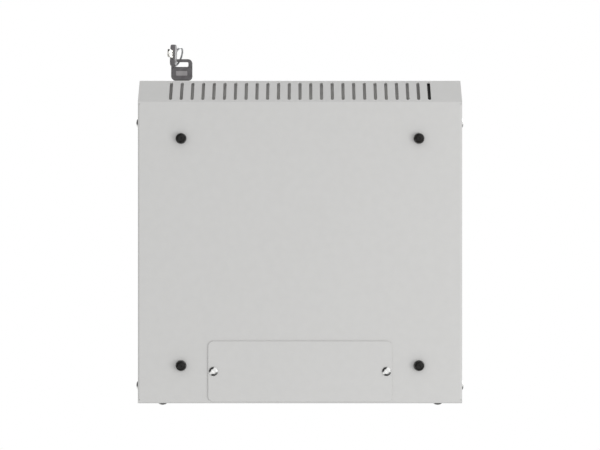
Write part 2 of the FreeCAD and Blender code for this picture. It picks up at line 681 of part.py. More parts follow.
def make_rails():
    """Ten-inch rails with square holes, bolted to slotted channels so that their depth can be set."""
    profile = along_z(folded_sheet([
        V(RAIL_EDGE_X, RAIL_Y + RAIL_DEPTH / 3, 0),
        V(RAIL_EDGE_X, RAIL_Y, 0),
        V(RAIL_X, RAIL_Y, 0),
        V(RAIL_X, RAIL_Y + RAIL_DEPTH, 0)], RAIL_SHEET, BEND), -RAIL_LENGTH / 2, RAIL_LENGTH)
    half = RAIL_HOLE / 2
    cuts = []
    for unit in range(UNITS):
        for height in UNIT_HOLES:
            z = (unit - UNITS / 2) * UNIT + height
            cuts.append(box(RAIL_HOLE_X - half, RAIL_HOLE_X + half, RAIL_Y - 1, RAIL_Y + RAIL_SHEET + 1,
                            z - half, z + half))
    leg_x = RAIL_X - RAIL_SHEET
    cuts += both_levels(rod(RAIL_SCREW_R + FIT, V(leg_x - 1, RAIL_SCREW_Y, CHANNEL_Z), X_AXIS, RAIL_SHEET + 2))
    rail = profile.cut(cuts)
    keep("right_rail", rail)
    keep("left_rail", mirrored(rail, X_AXIS))

    rim_x = INNER_X - RAIL_SHEET
    low = CHANNEL_Z - CHANNEL_HEIGHT / 2
    high = CHANNEL_Z + CHANNEL_HEIGHT / 2
    start = FRONT + CHANNEL_FRONT
    channel = along_y(folded_sheet([
        V(rim_x, high + CHANNEL_RIM, 0),
        V(rim_x, high, 0),
        V(CHANNEL_X, high, 0),
        V(CHANNEL_X, low, 0),
        V(rim_x, low, 0),
        V(rim_x, low - CHANNEL_RIM, 0)], RAIL_SHEET, BEND), start, -CHANNEL_REAR - start)
    pitch = (DEPTH - CHANNEL_FRONT - CHANNEL_REAR) / (CHANNEL_SLOT_COUNT + 1)
    slots = []
    for i in range(CHANNEL_SLOT_COUNT):
        y = RAIL_SCREW_Y + i * pitch
        half_slot = CHANNEL_SLOT / 2 - RAIL_SCREW_R
        opening = box(CHANNEL_X - 1, CHANNEL_X + RAIL_SHEET + 1, y - half_slot, y + half_slot,
                      CHANNEL_Z - RAIL_SCREW_R - FIT, CHANNEL_Z + RAIL_SCREW_R + FIT)
        ends = [rod(RAIL_SCREW_R + FIT, V(CHANNEL_X - 1, y + s * half_slot, CHANNEL_Z), X_AXIS, RAIL_SHEET + 2)
                for s in (-1, 1)]
        slots.append(opening.fuse(ends))
    channel = channel.cut(slots)
    upper = both_sides(channel)
    for side, solid in zip(("right", "left"), upper):
        keep("upper_" + side + "_channel", solid)
        keep("lower_" + side + "_channel", mirrored(solid, Z_AXIS))

    head_seat = V(RAIL_X - RAIL_SHEET, RAIL_SCREW_Y, CHANNEL_Z)
    head = domed_head(RAIL_SCREW_HEAD_R, RAIL_SCREW_HEAD_HEIGHT, head_seat, -X_AXIS)
    screw = head.fuse(rod(RAIL_SCREW_R, head_seat, X_AXIS, CHANNEL_STANDOFF - 2))
    nut_seat = V(CHANNEL_X + RAIL_SHEET + FLAT_FIT, RAIL_SCREW_Y, CHANNEL_Z)
    nut = hexagon(RAIL_NUT_R, nut_seat, X_AXIS, RAIL_NUT_HEIGHT)
    nut = nut.cut(rod(RAIL_SCREW_R + THREAD_FIT, nut_seat, X_AXIS, RAIL_NUT_HEIGHT))
    screws = []
    nuts = []
    for solid in both_sides(screw):
        screws += both_levels(solid)
    for solid in both_sides(nut):
        nuts += both_levels(solid)
    keep("rail_screws", *screws)
    keep("rail_nuts", *nuts)


# Door

def upright_plate(width, height, corner, front, rear):
    """A plate parallel to the door with rounded corners, centred on the origin."""
    plate = rounded_plate(width, height, corner, rear - front, V(0, 0, 0))
    plate.rotate(V(0, 0, 0), X_AXIS, 90)
    plate.translate(V(0, rear, 0))
    return plate


def pan(half_w, half_h, front, rear, radius):
    """A block whose front edges and upright corners are rounded."""
    block = box(-half_w, half_w, front, rear, -half_h, half_h)
    edges = [e for e in block.Edges
             if max(v.Y for v in e.Vertexes) == front or e.Vertexes[0].Y != e.Vertexes[1].Y]
    return block.makeFillet(radius, edges)


def clip_places():
    """Position of each glass clip's origin at the glass edge, and the turn that faces it outwards."""
    places = {}
    for name, z in (("upper", CLIP_Z), ("lower", -CLIP_Z)):
        places[name + "_right"] = (V(GLASS_HALF_W, DOOR_INNER, z), 0)
        places[name + "_left"] = (V(-GLASS_HALF_W, DOOR_INNER, z), 180)
    places["top"] = (V(0, DOOR_INNER, GLASS_HALF_H), -90)
    places["bottom"] = (V(0, DOOR_INNER, -GLASS_HALF_H), 90)
    return places


def placed(shape, place, turn):
    copy = shape.copy()
    copy.Placement = FreeCAD.Placement(place, FreeCAD.Rotation(Y_AXIS, turn)).multiply(copy.Placement)
    return copy


def make_door():
    shell = pan(DOOR_HALF_W, DOOR_HALF_H, FRONT, DOOR_BACK, SHEET + BEND)
    cavity = pan(DOOR_HALF_W - SHEET, DOOR_HALF_H - SHEET, DOOR_INNER, DOOR_BACK - SHEET, BEND)
    mouth = box(-DOOR_HALF_W + DOOR_HEM, DOOR_HALF_W - DOOR_HEM, DOOR_BACK - 2 * SHEET, DOOR_BACK + 1,
                -DOOR_HALF_H + DOOR_HEM, DOOR_HALF_H - DOOR_HEM)
    window = upright_plate(WINDOW_WIDTH, WINDOW_HEIGHT, WINDOW_CORNER, FRONT - 1, DOOR_INNER + 1)
    frame = shell.cut([cavity, mouth, window])
    stud = rod(STUD_R, V(STUD_OFFSET, 0, 0), Y_AXIS, STUD_LENGTH)
    frame = frame.fuse([placed(stud, place, turn) for place, turn in clip_places().values()])
    lock_hole = rod(BARREL_R + BARREL_HOLE_FIT, V(LOCK_X, FRONT - 1, 0), Y_AXIS, SHEET + 2)
    flats = BARREL_FLAT + BARREL_HOLE_FIT
    reach = 2 * BARREL_R
    lock_hole = lock_hole.common(box(LOCK_X - reach, LOCK_X + reach, FRONT - 2, DOOR_INNER + 2, -flats, flats))
    pin_hole = rod(PIN_R + PIN_FIT, V(HINGE_X, HINGE_Y, DOOR_HALF_H - SHEET - 1), Z_AXIS, SHEET + 2)
    keep("door_frame", frame.cut([lock_hole] + both_levels(pin_hole)))

    glass_w = 2 * GLASS_HALF_W
    glass_h = 2 * GLASS_HALF_H
    corner = WINDOW_CORNER / 2
    keep("door_glass", upright_plate(glass_w, glass_h, corner, GLASS_Y, GLASS_Y + GLASS))
    both = 2 * GASKET_WIDTH
    inside = upright_plate(glass_w - both, glass_h - both, corner, DOOR_INNER - 1, GLASS_Y + 1)
    keep("glass_gasket", upright_plate(glass_w, glass_h, corner, DOOR_INNER, GLASS_Y).cut(inside))


def make_clips():
    """Stepped clips on weld studs that hold the glass against its gasket."""
    step = GASKET + GLASS + FLAT_FIT
    clip = along_z(folded_sheet([
        V(-CLIP_LAP, step, 0),
        V(CLIP_EDGE_GAP, step, 0),
        V(CLIP_EDGE_GAP, 0, 0),
        V(2 * STUD_OFFSET, 0, 0)], CLIP_SHEET, BEND), -CLIP_WIDTH / 2, CLIP_WIDTH)
    clip = clip.cut(rod(STUD_R + FIT, V(STUD_OFFSET, -1, 0), Y_AXIS, CLIP_SHEET + 2))
    seat = V(STUD_OFFSET, CLIP_SHEET, 0)
    nut = hexagon(CLIP_NUT_R, seat, Y_AXIS, CLIP_NUT_HEIGHT)
    nut = nut.cut(rod(STUD_R + THREAD_FIT, seat, Y_AXIS, CLIP_NUT_HEIGHT))
    nuts = []
    for name, (place, turn) in clip_places().items():
        keep("glass_clip_" + name, placed(clip, place, turn))
        nuts.append(placed(nut, place, turn))
    keep("glass_clip_nuts", *nuts)


# Hinge

def make_hinge():
    """Black corner blocks under the ledges. The lower one holds a fixed pin, and the upper one is the
    socket for the sprung release pin, which slides in the door."""
    top = BAND_TOP - SHEET - FLAT_FIT
    bottom = top - BLOCK_HEIGHT
    nose_y = FRONT + SHEET + BLOCK_GAP
    toe_y = nose_y + (band_limit(nose_y, BLOCK_GAP) - bottom) * BAND_RUN / BAND_RISE
    rear = FRONT + BLOCK_BACK
    section = Part.Face(Part.makePolygon([
        V(nose_y, top, 0), V(nose_y, band_limit(nose_y, BLOCK_GAP), 0), V(toe_y, bottom, 0), V(rear, bottom, 0),
        V(rear, top, 0), V(nose_y, top, 0)]))
    block = along_x(section, INNER_X - 2 * FIT - BLOCK_WIDTH, BLOCK_WIDTH)
    block = block.cut(rod(PIN_R + PIN_FIT, V(HINGE_X, HINGE_Y, top - PIN_SEAT), Z_AXIS, PIN_SEAT + 1))
    screws = []
    for offset in BLOCK_SCREWS_X:
        seat = V(HINGE_X - offset, HINGE_Y, BAND_TOP)
        screw = rod(BLOCK_SCREW_HEAD_R, seat, Z_AXIS, BLOCK_SCREW_HEAD)
        screw = screw.fuse(rod(BLOCK_SCREW_R, seat, -Z_AXIS, BLOCK_SCREW_LENGTH))
        block = block.cut(rod(BLOCK_SCREW_R + THREAD_FIT, seat, -Z_AXIS, BLOCK_SCREW_LENGTH))
        screws += both_levels(screw)
    keep("lower_hinge_block", block)
    keep("upper_hinge_block", mirrored(block, Z_AXIS))
    keep("hinge_block_screws", *screws)
    pin = rod(PIN_R, V(HINGE_X, HINGE_Y, top - PIN_SEAT), Z_AXIS, PIN_SEAT + FLAT_FIT + SHEET + PIN_STAND)
    keep("lower_hinge_pin", pin)
    washer_seat = V(HINGE_X, HINGE_Y, BAND_TOP)
    keep("hinge_washer", ring(WASHER_R, PIN_R + PIN_FIT, washer_seat, Z_AXIS, DOOR_GAP - WASHER_GAP))

    guide_x = DOOR_HALF_W - SHEET - BEND - FIT
    guide = along_x(folded_sheet([
        V(DOOR_BACK - SHEET - FIT, GUIDE_Z, 0),
        V(DOOR_INNER, GUIDE_Z, 0),
        V(DOOR_INNER, GUIDE_Z - GUIDE_LEG, 0)], SHEET, BEND), guide_x - GUIDE_WIDTH, GUIDE_WIDTH)
    bore = rod(PIN_R + PIN_FIT, V(HINGE_X, HINGE_Y, GUIDE_Z - GUIDE_LEG), Z_AXIS, 2 * GUIDE_LEG)
    keep("pin_guide", guide.cut(bore))

    foot = V(HINGE_X, HINGE_Y, GUIDE_Z - PIN_TAIL)
    length = -BAND_TOP + SHEET + PIN_SEAT - foot.z
    release = rod(PIN_R, foot, Z_AXIS, length)
    collar_z = GUIDE_Z + COLLAR_ABOVE_GUIDE
    release = release.fuse(rod(COLLAR_R, V(HINGE_X, HINGE_Y, collar_z), Z_AXIS, COLLAR_HEIGHT))
    lever = rod(LEVER_R, V(HINGE_X, HINGE_Y, GUIDE_Z + LEVER_ABOVE_GUIDE), -X_AXIS, LEVER_LENGTH)
    keep("hinge_release_pin", release.fuse(lever))

    height = COLLAR_ABOVE_GUIDE - 2 * SPRING_WIRE_R - 2 * FLAT_FIT
    helix = Part.makeHelix(height / SPRING_TURNS, height, SPRING_R)
    wire = Part.Wire(Part.makeCircle(SPRING_WIRE_R, V(SPRING_R, 0, 0), Y_AXIS))
    spring = Part.Wire(helix).makePipeShell([wire], True, True)
    spring.translate(V(HINGE_X, HINGE_Y, GUIDE_Z + SPRING_WIRE_R + FLAT_FIT))
    keep("hinge_spring", spring)


# Cam lock

def make_lock():
    bore_r = PLUG_R + PLUG_FIT
    end = CAM_Y - WASHER_GAP - FIT
    body = rod(BARREL_R, V(LOCK_X, FRONT, 0), Y_AXIS, end - FRONT)
    body = body.common(box(LOCK_X - BARREL_R, LOCK_X + BARREL_R, FRONT, end, -BARREL_FLAT, BARREL_FLAT))
    bezel = rod(BEZEL_R, V(LOCK_X, FRONT, 0), -Y_AXIS, BEZEL_RIM)
    bezel = bezel.fuse(Part.makeCone(BEZEL_R, BEZEL_FACE_R, BEZEL_HEIGHT - BEZEL_RIM,
                                     V(LOCK_X, FRONT - BEZEL_RIM, 0), -Y_AXIS))
    barrel = bezel.fuse(body).cut(rod(bore_r, V(LOCK_X, BEZEL_Y - 1, 0), Y_AXIS, end - BEZEL_Y + 2))
    keep("lock_barrel", barrel)
    nut_seat = V(LOCK_X, DOOR_INNER + FLAT_FIT, 0)
    nut = hexagon(RING_NUT_R, nut_seat, Y_AXIS, RING_NUT_HEIGHT)
    keep("lock_nut", nut.cut(rod(BARREL_R + THREAD_FIT, nut_seat, Y_AXIS, RING_NUT_HEIGHT)))

    face = BEZEL_Y + PLUG_RECESS
    plug = rod(PLUG_R, V(LOCK_X, face, 0), Y_AXIS, CAM_Y - face)
    half_w = KEY_BLADE_WIDTH / 2 + KEYWAY_FIT
    half_t = KEY_SHEET / 2 + KEYWAY_FIT
    plug = plug.cut(box(LOCK_X - half_w, LOCK_X + half_w, face - 1, KEYWAY_END, -half_t, half_t))
    plug = plug.cut(rod(CAM_SCREW_R + THREAD_FIT, V(LOCK_X, CAM_Y, 0), -Y_AXIS, CAM_SCREW_DEPTH))
    keep("lock_plug", plug)

    cam_length = CAM_LENGTH + CAM_TAIL
    cam = upright_plate(CAM_WIDTH, cam_length, CAM_WIDTH / 2 - FIT, CAM_Y, CAM_Y + CAM_SHEET)
    cam.translate(V(LOCK_X, 0, CAM_TAIL - cam_length / 2))
    keep("lock_cam", cam.cut(rod(CAM_SCREW_R + THREAD_FIT, V(LOCK_X, CAM_Y - 1, 0), Y_AXIS, CAM_SHEET + 2)))
    seat = V(LOCK_X, CAM_Y + CAM_SHEET, 0)
    screw = domed_head(CAM_SCREW_HEAD_R, CAM_SCREW_HEAD_HEIGHT, seat, Y_AXIS)
    keep("cam_screw", screw.fuse(rod(CAM_SCREW_R, seat, -Y_AXIS, CAM_SHEET + CAM_SCREW_DEPTH - FIT)))


# Keys

def key_blade():
    """A flat blade with its neck at the origin and its tip towards +Y, and a tang for the plastic."""
    half = KEY_BLADE_WIDTH / 2
    edge = [V(half, 0, 0)]
    first = KEY_REACH - KEY_TIP - 1 - KEY_NOTCHES * KEY_NOTCH_PITCH
    for i in range(KEY_NOTCHES):
        y = first + i * KEY_NOTCH_PITCH
        depth = KEY_NOTCH * (1 + i % 2) / 2
        edge += [V(half, y, 0), V(half - depth, y + depth, 0), V(half - depth, y + 2 * depth, 0),
                 V(half, y + 3 * depth, 0)]
    edge += [V(half, KEY_REACH - KEY_TIP, 0), V(half - KEY_TIP, KEY_REACH, 0)]
    tang = KEY_TANG_WIDTH / 2
    outline = [V(tang, -KEY_TANG, 0), V(tang, 0, 0)] + edge
    outline += [V(-half + KEY_TIP, KEY_REACH, 0), V(-half, KEY_REACH - KEY_TIP, 0), V(-half, 0, 0),
                V(-tang, 0, 0), V(-tang, -KEY_TANG, 0)]
    blade = Part.Face(Part.makePolygon(outline + outline[:1])).extrude(V(0, 0, KEY_SHEET))
    blade.translate(V(0, 0, -KEY_SHEET / 2))
    return blade


def key_head(blade):
    """The moulded head: a thick grip with a bare sunk field on each face, and a thinner loop."""
    middle = -KEY_HEAD_LENGTH / 2
    hole_y = -KEY_HEAD_LENGTH + KEY_LOOP_BAR + KEY_LOOP_DEPTH / 2
    step_y = hole_y + KEY_LOOP_DEPTH / 2 + KEY_LOOP_BAR / 4
    loop = rounded_plate(KEY_HEAD_WIDTH, KEY_HEAD_LENGTH, KEY_HEAD_CORNER, KEY_LOOP_THICK,
                         V(0, middle, -KEY_LOOP_THICK / 2))
    loop = loop.cut(rounded_plate(KEY_LOOP_WIDTH, KEY_LOOP_DEPTH, KEY_LOOP_CORNER, 2 * KEY_LOOP_THICK,
                                  V(0, hole_y, -KEY_LOOP_THICK)))
    grip = rounded_plate(KEY_HEAD_WIDTH, -step_y, KEY_HEAD_CORNER, KEY_HEAD_THICK,
                         V(0, step_y / 2, -KEY_HEAD_THICK / 2))
    faces = [e for e in grip.Edges if all(abs(abs(v.Z) - KEY_HEAD_THICK / 2) < FLAT_FIT for v in e.Vertexes)]
    grip = grip.makeFillet(KEY_EDGE, faces)
    head = loop.fuse(grip)
    field = rounded_plate(KEY_FIELD_WIDTH, KEY_FIELD_DEPTH, 1.0, 2 * KEY_FIELD_RELIEF,
                          V(0, -KEY_FIELD_FROM_NECK, KEY_HEAD_THICK / 2 - KEY_FIELD_RELIEF))
    return head.cut([field, mirrored(field, Z_AXIS), blade])


def make_keys():
    blade = key_blade()
    head = key_head(blade)
    in_lock = FreeCAD.Placement(V(LOCK_X, NECK_Y, 0), FreeCAD.Rotation())

    turn = math.radians(RING_TURN)
    inward = V(-math.sin(turn), math.cos(turn), 0)
    ring_axis = V(math.cos(turn), math.sin(turn), 0)
    bar = V(LOCK_X - RING_X, NECK_Y - KEY_HEAD_LENGTH + KEY_LOOP_BAR / 2, 0)
    centre = bar - inward * RING_OUT - Z_AXIS * RING_DROP
    inner = RING_R - RING_THICK / 2
    side = centre - ring_axis * (RING_BREADTH / 2)
    loop = ring(RING_R + RING_THICK / 2, inner, side, ring_axis, RING_BREADTH)
    loop = loop.makeFillet(RING_THICK / 4, [e for e in loop.Edges if len(e.Vertexes) == 1])
    loop.rotate(bar, inward, RING_LEAN)
    keep("key_ring", loop)

    hang = math.radians(SPARE_TURN)
    across = V(-math.sin(hang), math.cos(hang), 0)
    lean = FreeCAD.Rotation(inward, RING_LEAN)
    low = bar + lean.multVec(centre - Z_AXIS * inner - bar)
    spare_bar = low + across * SPARE_SLIDE + lean.multVec(Z_AXIS * SPARE_LIFT) + Z_AXIS * (KEY_LOOP_BAR / 2)
    down = FreeCAD.Rotation(across, SPARE_LEAN).multVec(-Z_AXIS)
    neck = spare_bar + down * (KEY_HEAD_LENGTH - KEY_LOOP_BAR / 2)
    hanging = FreeCAD.Placement(neck, FreeCAD.Rotation(across, down, across.cross(down)))
    for name, place in (("key", in_lock), ("spare_key", hanging)):
        for piece, shape in (("blade", blade), ("head", head)):
            copy = shape.copy()
            copy.Placement = place.multiply(copy.Placement)
            keep(name + "_" + piece, copy)


def main():
    make_panels()
    make_sides()
    make_bumpers()
    make_rear()
    make_earth_stud()
    make_assembly_screws()
    make_feet()
    make_covers()
    make_rails()
    make_door()
    make_clips()
    make_hinge()
    make_lock()
    make_keys()
    os.makedirs("parts", exist_ok=True)
    for name, shape in PARTS.items():
        shape.exportStep("parts/" + name + ".step")
        print(name, len(shape.Solids), "solids, valid", shape.isValid(), "volume", round(shape.Volume, 1))


main()
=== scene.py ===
# %% [markdown]
# # A ten-inch wall cabinet, dressed for its photograph
# The CAD model is the frame of this scene: it gives every part its true size and place, and it is
# never moved or reshaped here. This notebook adds the camera, the light, the finishes and the small
# pieces that CAD leaves plain, such as rubber feet, screw recesses and the split ring of the keys.

# %% Load the frame
import bpy
import bmesh
import json
import math
from mathutils import Matrix, Vector


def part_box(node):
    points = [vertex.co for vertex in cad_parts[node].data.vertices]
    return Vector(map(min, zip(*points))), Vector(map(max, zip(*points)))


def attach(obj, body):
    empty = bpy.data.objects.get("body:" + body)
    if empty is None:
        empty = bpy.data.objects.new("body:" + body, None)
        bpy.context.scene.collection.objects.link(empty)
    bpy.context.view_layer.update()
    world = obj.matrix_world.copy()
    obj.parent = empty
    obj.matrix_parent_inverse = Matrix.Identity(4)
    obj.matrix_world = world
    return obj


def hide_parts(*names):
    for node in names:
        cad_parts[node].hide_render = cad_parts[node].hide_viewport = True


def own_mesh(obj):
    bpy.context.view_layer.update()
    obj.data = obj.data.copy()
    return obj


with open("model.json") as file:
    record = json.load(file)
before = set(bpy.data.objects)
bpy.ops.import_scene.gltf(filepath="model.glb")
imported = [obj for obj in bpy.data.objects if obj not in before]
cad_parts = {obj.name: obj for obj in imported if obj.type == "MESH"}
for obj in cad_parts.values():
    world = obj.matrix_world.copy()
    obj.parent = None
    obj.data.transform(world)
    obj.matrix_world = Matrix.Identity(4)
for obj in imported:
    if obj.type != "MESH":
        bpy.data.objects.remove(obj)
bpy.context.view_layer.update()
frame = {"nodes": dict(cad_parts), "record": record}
nodes = frame["nodes"]
record = frame["record"]
slots = {part["node"]: part["material_slot"] for part in record["subparts"]}
joints = {joint["name"]: joint for joint in record["behaviour"]["joints"]}
body_names = {node: body for body, members in record["behaviour"]["bodies"].items() for node in members}
MM = 0.001

# %% [markdown]
# ## Camera
# The photograph looks straight up at the underside. The bottom face is square to the view, so the
# camera needs no tilt: it stands below the cabinet and looks along +Z, with the door side upwards in
# the picture. It could also be aimed with a tracking constraint, but a plain half turn about X is
# exact and leaves nothing to solve. The distance follows from how much of the slanted band and of the
# key is seen in perspective, and the lens then makes the 300 mm face as wide as it is in the picture.

# %% Camera
bottom_low, bottom_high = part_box("bottom_panel")
CAMERA_DISTANCE = 1.78
LENS = 115.5
SENSOR_WIDTH = 36
VIEW_Y = -0.1637

camera_data = bpy.data.cameras.new("photograph camera")
camera_data.lens = LENS
camera_data.sensor_width = SENSOR_WIDTH
camera = bpy.data.objects.new("photograph camera", camera_data)
bpy.context.scene.collection.objects.link(camera)
camera.location = (0, VIEW_Y, bottom_low.z - CAMERA_DISTANCE)
camera.rotation_euler = (math.pi, 0, 0)
bpy.context.scene.camera = camera
bpy.context.scene.view_settings.view_transform = "Standard"
print("camera", CAMERA_DISTANCE, "m below the bottom face")

# %% [markdown]
# ## Light and floor
# Small product pictures are lit by big soft sources. Here the world is the soft source, and two broad
# suns give the pale steel its direction: one from below on the right, which the photograph shows, and
# one from above and in front, for the views that it doesn't. A soft box nearby on the right makes the
# face a little paler towards it, which suns can't, and a weak one lights the inside behind the slots.
# The world is white where it is seen or reflected, with a dim stretch at the left front horizon and one
# at the rear, as a room has beside its lamps, so that plated domes don't turn flat white. A ray through
# glass counts as glossy too, so the mix for what is seen comes after the one for mirrors. The floor only
# exists for a camera above it, lets light from below through, and leaves the reflections to the world,
# which is as pale as the floor is.


# %% Helper for shader nodes
def new_node(tree, kind, values=None):
    """A new node in a shader tree, with the values of some of its sockets, by name or by number."""
    node = tree.nodes.new(kind)
    for socket, value in (values or {}).items():
        node.inputs[socket].default_value = value
    return node


# %% World
WORLD_COLOUR = (0.98, 0.99, 1.0, 1)
WORLD_STRENGTH = 0.70
DIM_STRETCHES = ((-0.75, -0.66, 0), (0.35, 0.94, 0))
world = bpy.data.worlds.new("studio")
bpy.context.scene.world = world
world.use_nodes = True
tree = world.node_tree
tree.nodes.clear()
out = new_node(tree, "ShaderNodeOutputWorld")
ambient = new_node(tree, "ShaderNodeBackground", {"Color": WORLD_COLOUR, "Strength": WORLD_STRENGTH})
seen = new_node(tree, "ShaderNodeBackground", {"Color": (1, 1, 1, 1)})
mirror_world = new_node(tree, "ShaderNodeBackground")
path = new_node(tree, "ShaderNodeLightPath")
room = new_node(tree, "ShaderNodeTexCoord")
nearer = new_node(tree, "ShaderNodeMath")
nearer.operation = "MAXIMUM"
shade = new_node(tree, "ShaderNodeMapRange", {"From Min": 0.3, "From Max": 0.7, "To Min": 0.9,
                                              "To Max": 0.05})
shade.interpolation_type = "SMOOTHSTEP"
either = new_node(tree, "ShaderNodeMath")
either.operation = "MAXIMUM"
to_seen = new_node(tree, "ShaderNodeMixShader")
to_mirror = new_node(tree, "ShaderNodeMixShader")
links = tree.links
for i, dim_stretch in enumerate(DIM_STRETCHES):
    toward = new_node(tree, "ShaderNodeVectorMath", {1: dim_stretch})
    toward.operation = "DOT_PRODUCT"
    links.new(room.outputs["Generated"], toward.inputs[0])
    links.new(toward.outputs["Value"], nearer.inputs[i])
links.new(nearer.outputs[0], shade.inputs["Value"])
links.new(shade.outputs["Result"], mirror_world.inputs["Color"])
links.new(path.outputs["Is Glossy Ray"], to_mirror.inputs["Fac"])
links.new(ambient.outputs[0], to_mirror.inputs[1])
links.new(mirror_world.outputs[0], to_mirror.inputs[2])
links.new(path.outputs["Is Camera Ray"], either.inputs[0])
links.new(path.outputs["Is Transmission Ray"], either.inputs[1])
links.new(either.outputs[0], to_seen.inputs["Fac"])
links.new(to_mirror.outputs[0], to_seen.inputs[1])
links.new(seen.outputs[0], to_seen.inputs[2])
links.new(to_seen.outputs[0], out.inputs["Surface"])
print("world strength on the object", WORLD_STRENGTH)


# %% Suns
def sun(name, toward_light, share, softness):
    """A sun that lights a face square to it by this share of its full colour. Softness is in degrees."""
    data = bpy.data.lights.new(name, "SUN")
    data.energy = share * math.pi
    data.angle = math.radians(softness)
    lamp = bpy.data.objects.new(name, data)
    lamp.rotation_euler = Vector(toward_light).to_track_quat("Z", "Y").to_euler()
    bpy.context.scene.collection.objects.link(lamp)
    print(name, "toward", toward_light, "share", share)


sun("sun from below right", (0.44, 0.12, -0.89), share=0.10, softness=110)
sun("sun from above front", (0.35, -0.55, 0.76), share=0.46, softness=70)


# %% Soft boxes
def soft_box(name, place, aim, size, watts):
    """A square lamp that only lights, at place, turned towards aim."""
    data = bpy.data.lights.new(name, "AREA")
    data.size = size
    data.energy = watts
    lamp = bpy.data.objects.new(name, data)
    lamp.location = place
    lamp.rotation_euler = (Vector(place) - Vector(aim)).to_track_quat("Z", "Y").to_euler()
    lamp.visible_camera = lamp.visible_glossy = lamp.visible_transmission = False
    bpy.context.scene.collection.objects.link(lamp)
    print(name, "at", place, watts, "W")


soft_box("lamp below right", (1.0, 0.1, -1.2), aim=(0, -0.15, -0.16), size=0.7, watts=5.6)
soft_box("lamp in the cabinet", (0, -0.13, 0.11), aim=(0, -0.13, -0.16), size=0.18, watts=0.25)

# %% Floor
FLOOR_SIZE = 60
feet_low = min(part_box(name)[0].z for name in nodes if name.startswith("rubber_foot"))
bpy.ops.object.select_all(action="DESELECT")
bpy.ops.mesh.primitive_plane_add(size=FLOOR_SIZE, location=(0, 0, feet_low))
floor = bpy.context.object
floor.name = "floor"
floor_paint = bpy.data.materials.new("floor")
floor_paint.use_nodes = True
tree = floor_paint.node_tree
tree.nodes.clear()
out = new_node(tree, "ShaderNodeOutputMaterial")
pale = new_node(tree, "ShaderNodeBsdfDiffuse", {"Color": (0.93, 0.93, 0.93, 1)})
clear = new_node(tree, "ShaderNodeBsdfTransparent")
path = new_node(tree, "ShaderNodeLightPath")
sides = new_node(tree, "ShaderNodeNewGeometry")
above = new_node(tree, "ShaderNodeMath")
above.operation = "SUBTRACT"
above.use_clamp = True
blend = new_node(tree, "ShaderNodeMixShader")
tree.links.new(path.outputs["Is Camera Ray"], above.inputs[0])
tree.links.new(sides.outputs["Backfacing"], above.inputs[1])
tree.links.new(above.outputs[0], blend.inputs["Fac"])
tree.links.new(clear.outputs[0], blend.inputs[1])
tree.links.new(pale.outputs[0], blend.inputs[2])
tree.links.new(blend.outputs[0], out.inputs["Surface"])
floor.data.materials.append(floor_paint)
print("floor at", round(feet_low, 4))

# %% [markdown]
# ## Effects that several finishes share
# Paint, rubber, plastic and plating differ in colour, but they share three small irregularities: a
# fine grain, hairlines from rolling or polishing, and faint handling marks that change the gloss.
# Each is a node group, built once, so that a finish only sets how strong it is. Image textures could
# give the same looks, but procedural ones stay sharp at any distance and need no unwrapping.


# %% Shared node groups
def new_group(name, inputs, outputs):
    """A shader node group with float inputs (name: default) and float outputs."""
    group = bpy.data.node_groups.new(name, "ShaderNodeTree")
    for label, value in inputs.items():
        socket = group.interface.new_socket(label, in_out="INPUT", socket_type="NodeSocketFloat")
        socket.default_value = value
    for label in outputs:
        group.interface.new_socket(label, in_out="OUTPUT", socket_type="NodeSocketFloat")
    return group, group.nodes.new("NodeGroupInput"), group.nodes.new("NodeGroupOutput")


def grain_group():
    """Fine even grain: Height for a bump, Tone for a slight change of colour from a coarser one."""
    coarser = 0.12
    group, given, result = new_group("fine grain", {"Scale": 900.0, "Softness": 0.5}, ["Height", "Tone"])
    place = new_node(group, "ShaderNodeTexCoord")
    fine = new_node(group, "ShaderNodeTexNoise", {"Detail": 3.0})
    coarse = new_node(group, "ShaderNodeTexNoise", {"Detail": 2.0})
    wider = new_node(group, "ShaderNodeMath", {1: coarser})
    wider.operation = "MULTIPLY"
    for noise in (fine, coarse):
        group.links.new(place.outputs["Object"], noise.inputs["Vector"])
    group.links.new(given.outputs["Scale"], fine.inputs["Scale"])
    group.links.new(given.outputs["Softness"], fine.inputs["Roughness"])
    group.links.new(given.outputs["Scale"], wider.inputs[0])
    group.links.new(wider.outputs[0], coarse.inputs["Scale"])
    group.links.new(fine.outputs["Fac"], result.inputs["Height"])
    group.links.new(coarse.outputs["Fac"], result.inputs["Tone"])
    return group


def hairline_group():
    """Fine parallel lines, stretched along one axis of the object."""
    defaults = {"Scale": 500.0, "Across X": 1.0, "Across Y": 1.0, "Across Z": 1.0}
    group, given, result = new_group("hairlines", defaults, ["Height", "Gloss"])
    place = new_node(group, "ShaderNodeTexCoord")
    stretch = new_node(group, "ShaderNodeCombineXYZ")
    scaled = new_node(group, "ShaderNodeVectorMath")
    scaled.operation = "MULTIPLY"
    lines = new_node(group, "ShaderNodeTexNoise", {"Detail": 4.0})
    gloss = new_node(group, "ShaderNodeMapRange", {"From Min": 0.35, "From Max": 0.65})
    for axis in "XYZ":
        group.links.new(given.outputs["Across " + axis], stretch.inputs[axis])
    group.links.new(place.outputs["Object"], scaled.inputs[0])
    group.links.new(stretch.outputs[0], scaled.inputs[1])
    group.links.new(scaled.outputs[0], lines.inputs["Vector"])
    group.links.new(given.outputs["Scale"], lines.inputs["Scale"])
    group.links.new(lines.outputs["Fac"], gloss.inputs["Value"])
    group.links.new(lines.outputs["Fac"], result.inputs["Height"])
    group.links.new(gloss.outputs["Result"], result.inputs["Gloss"])
    return group


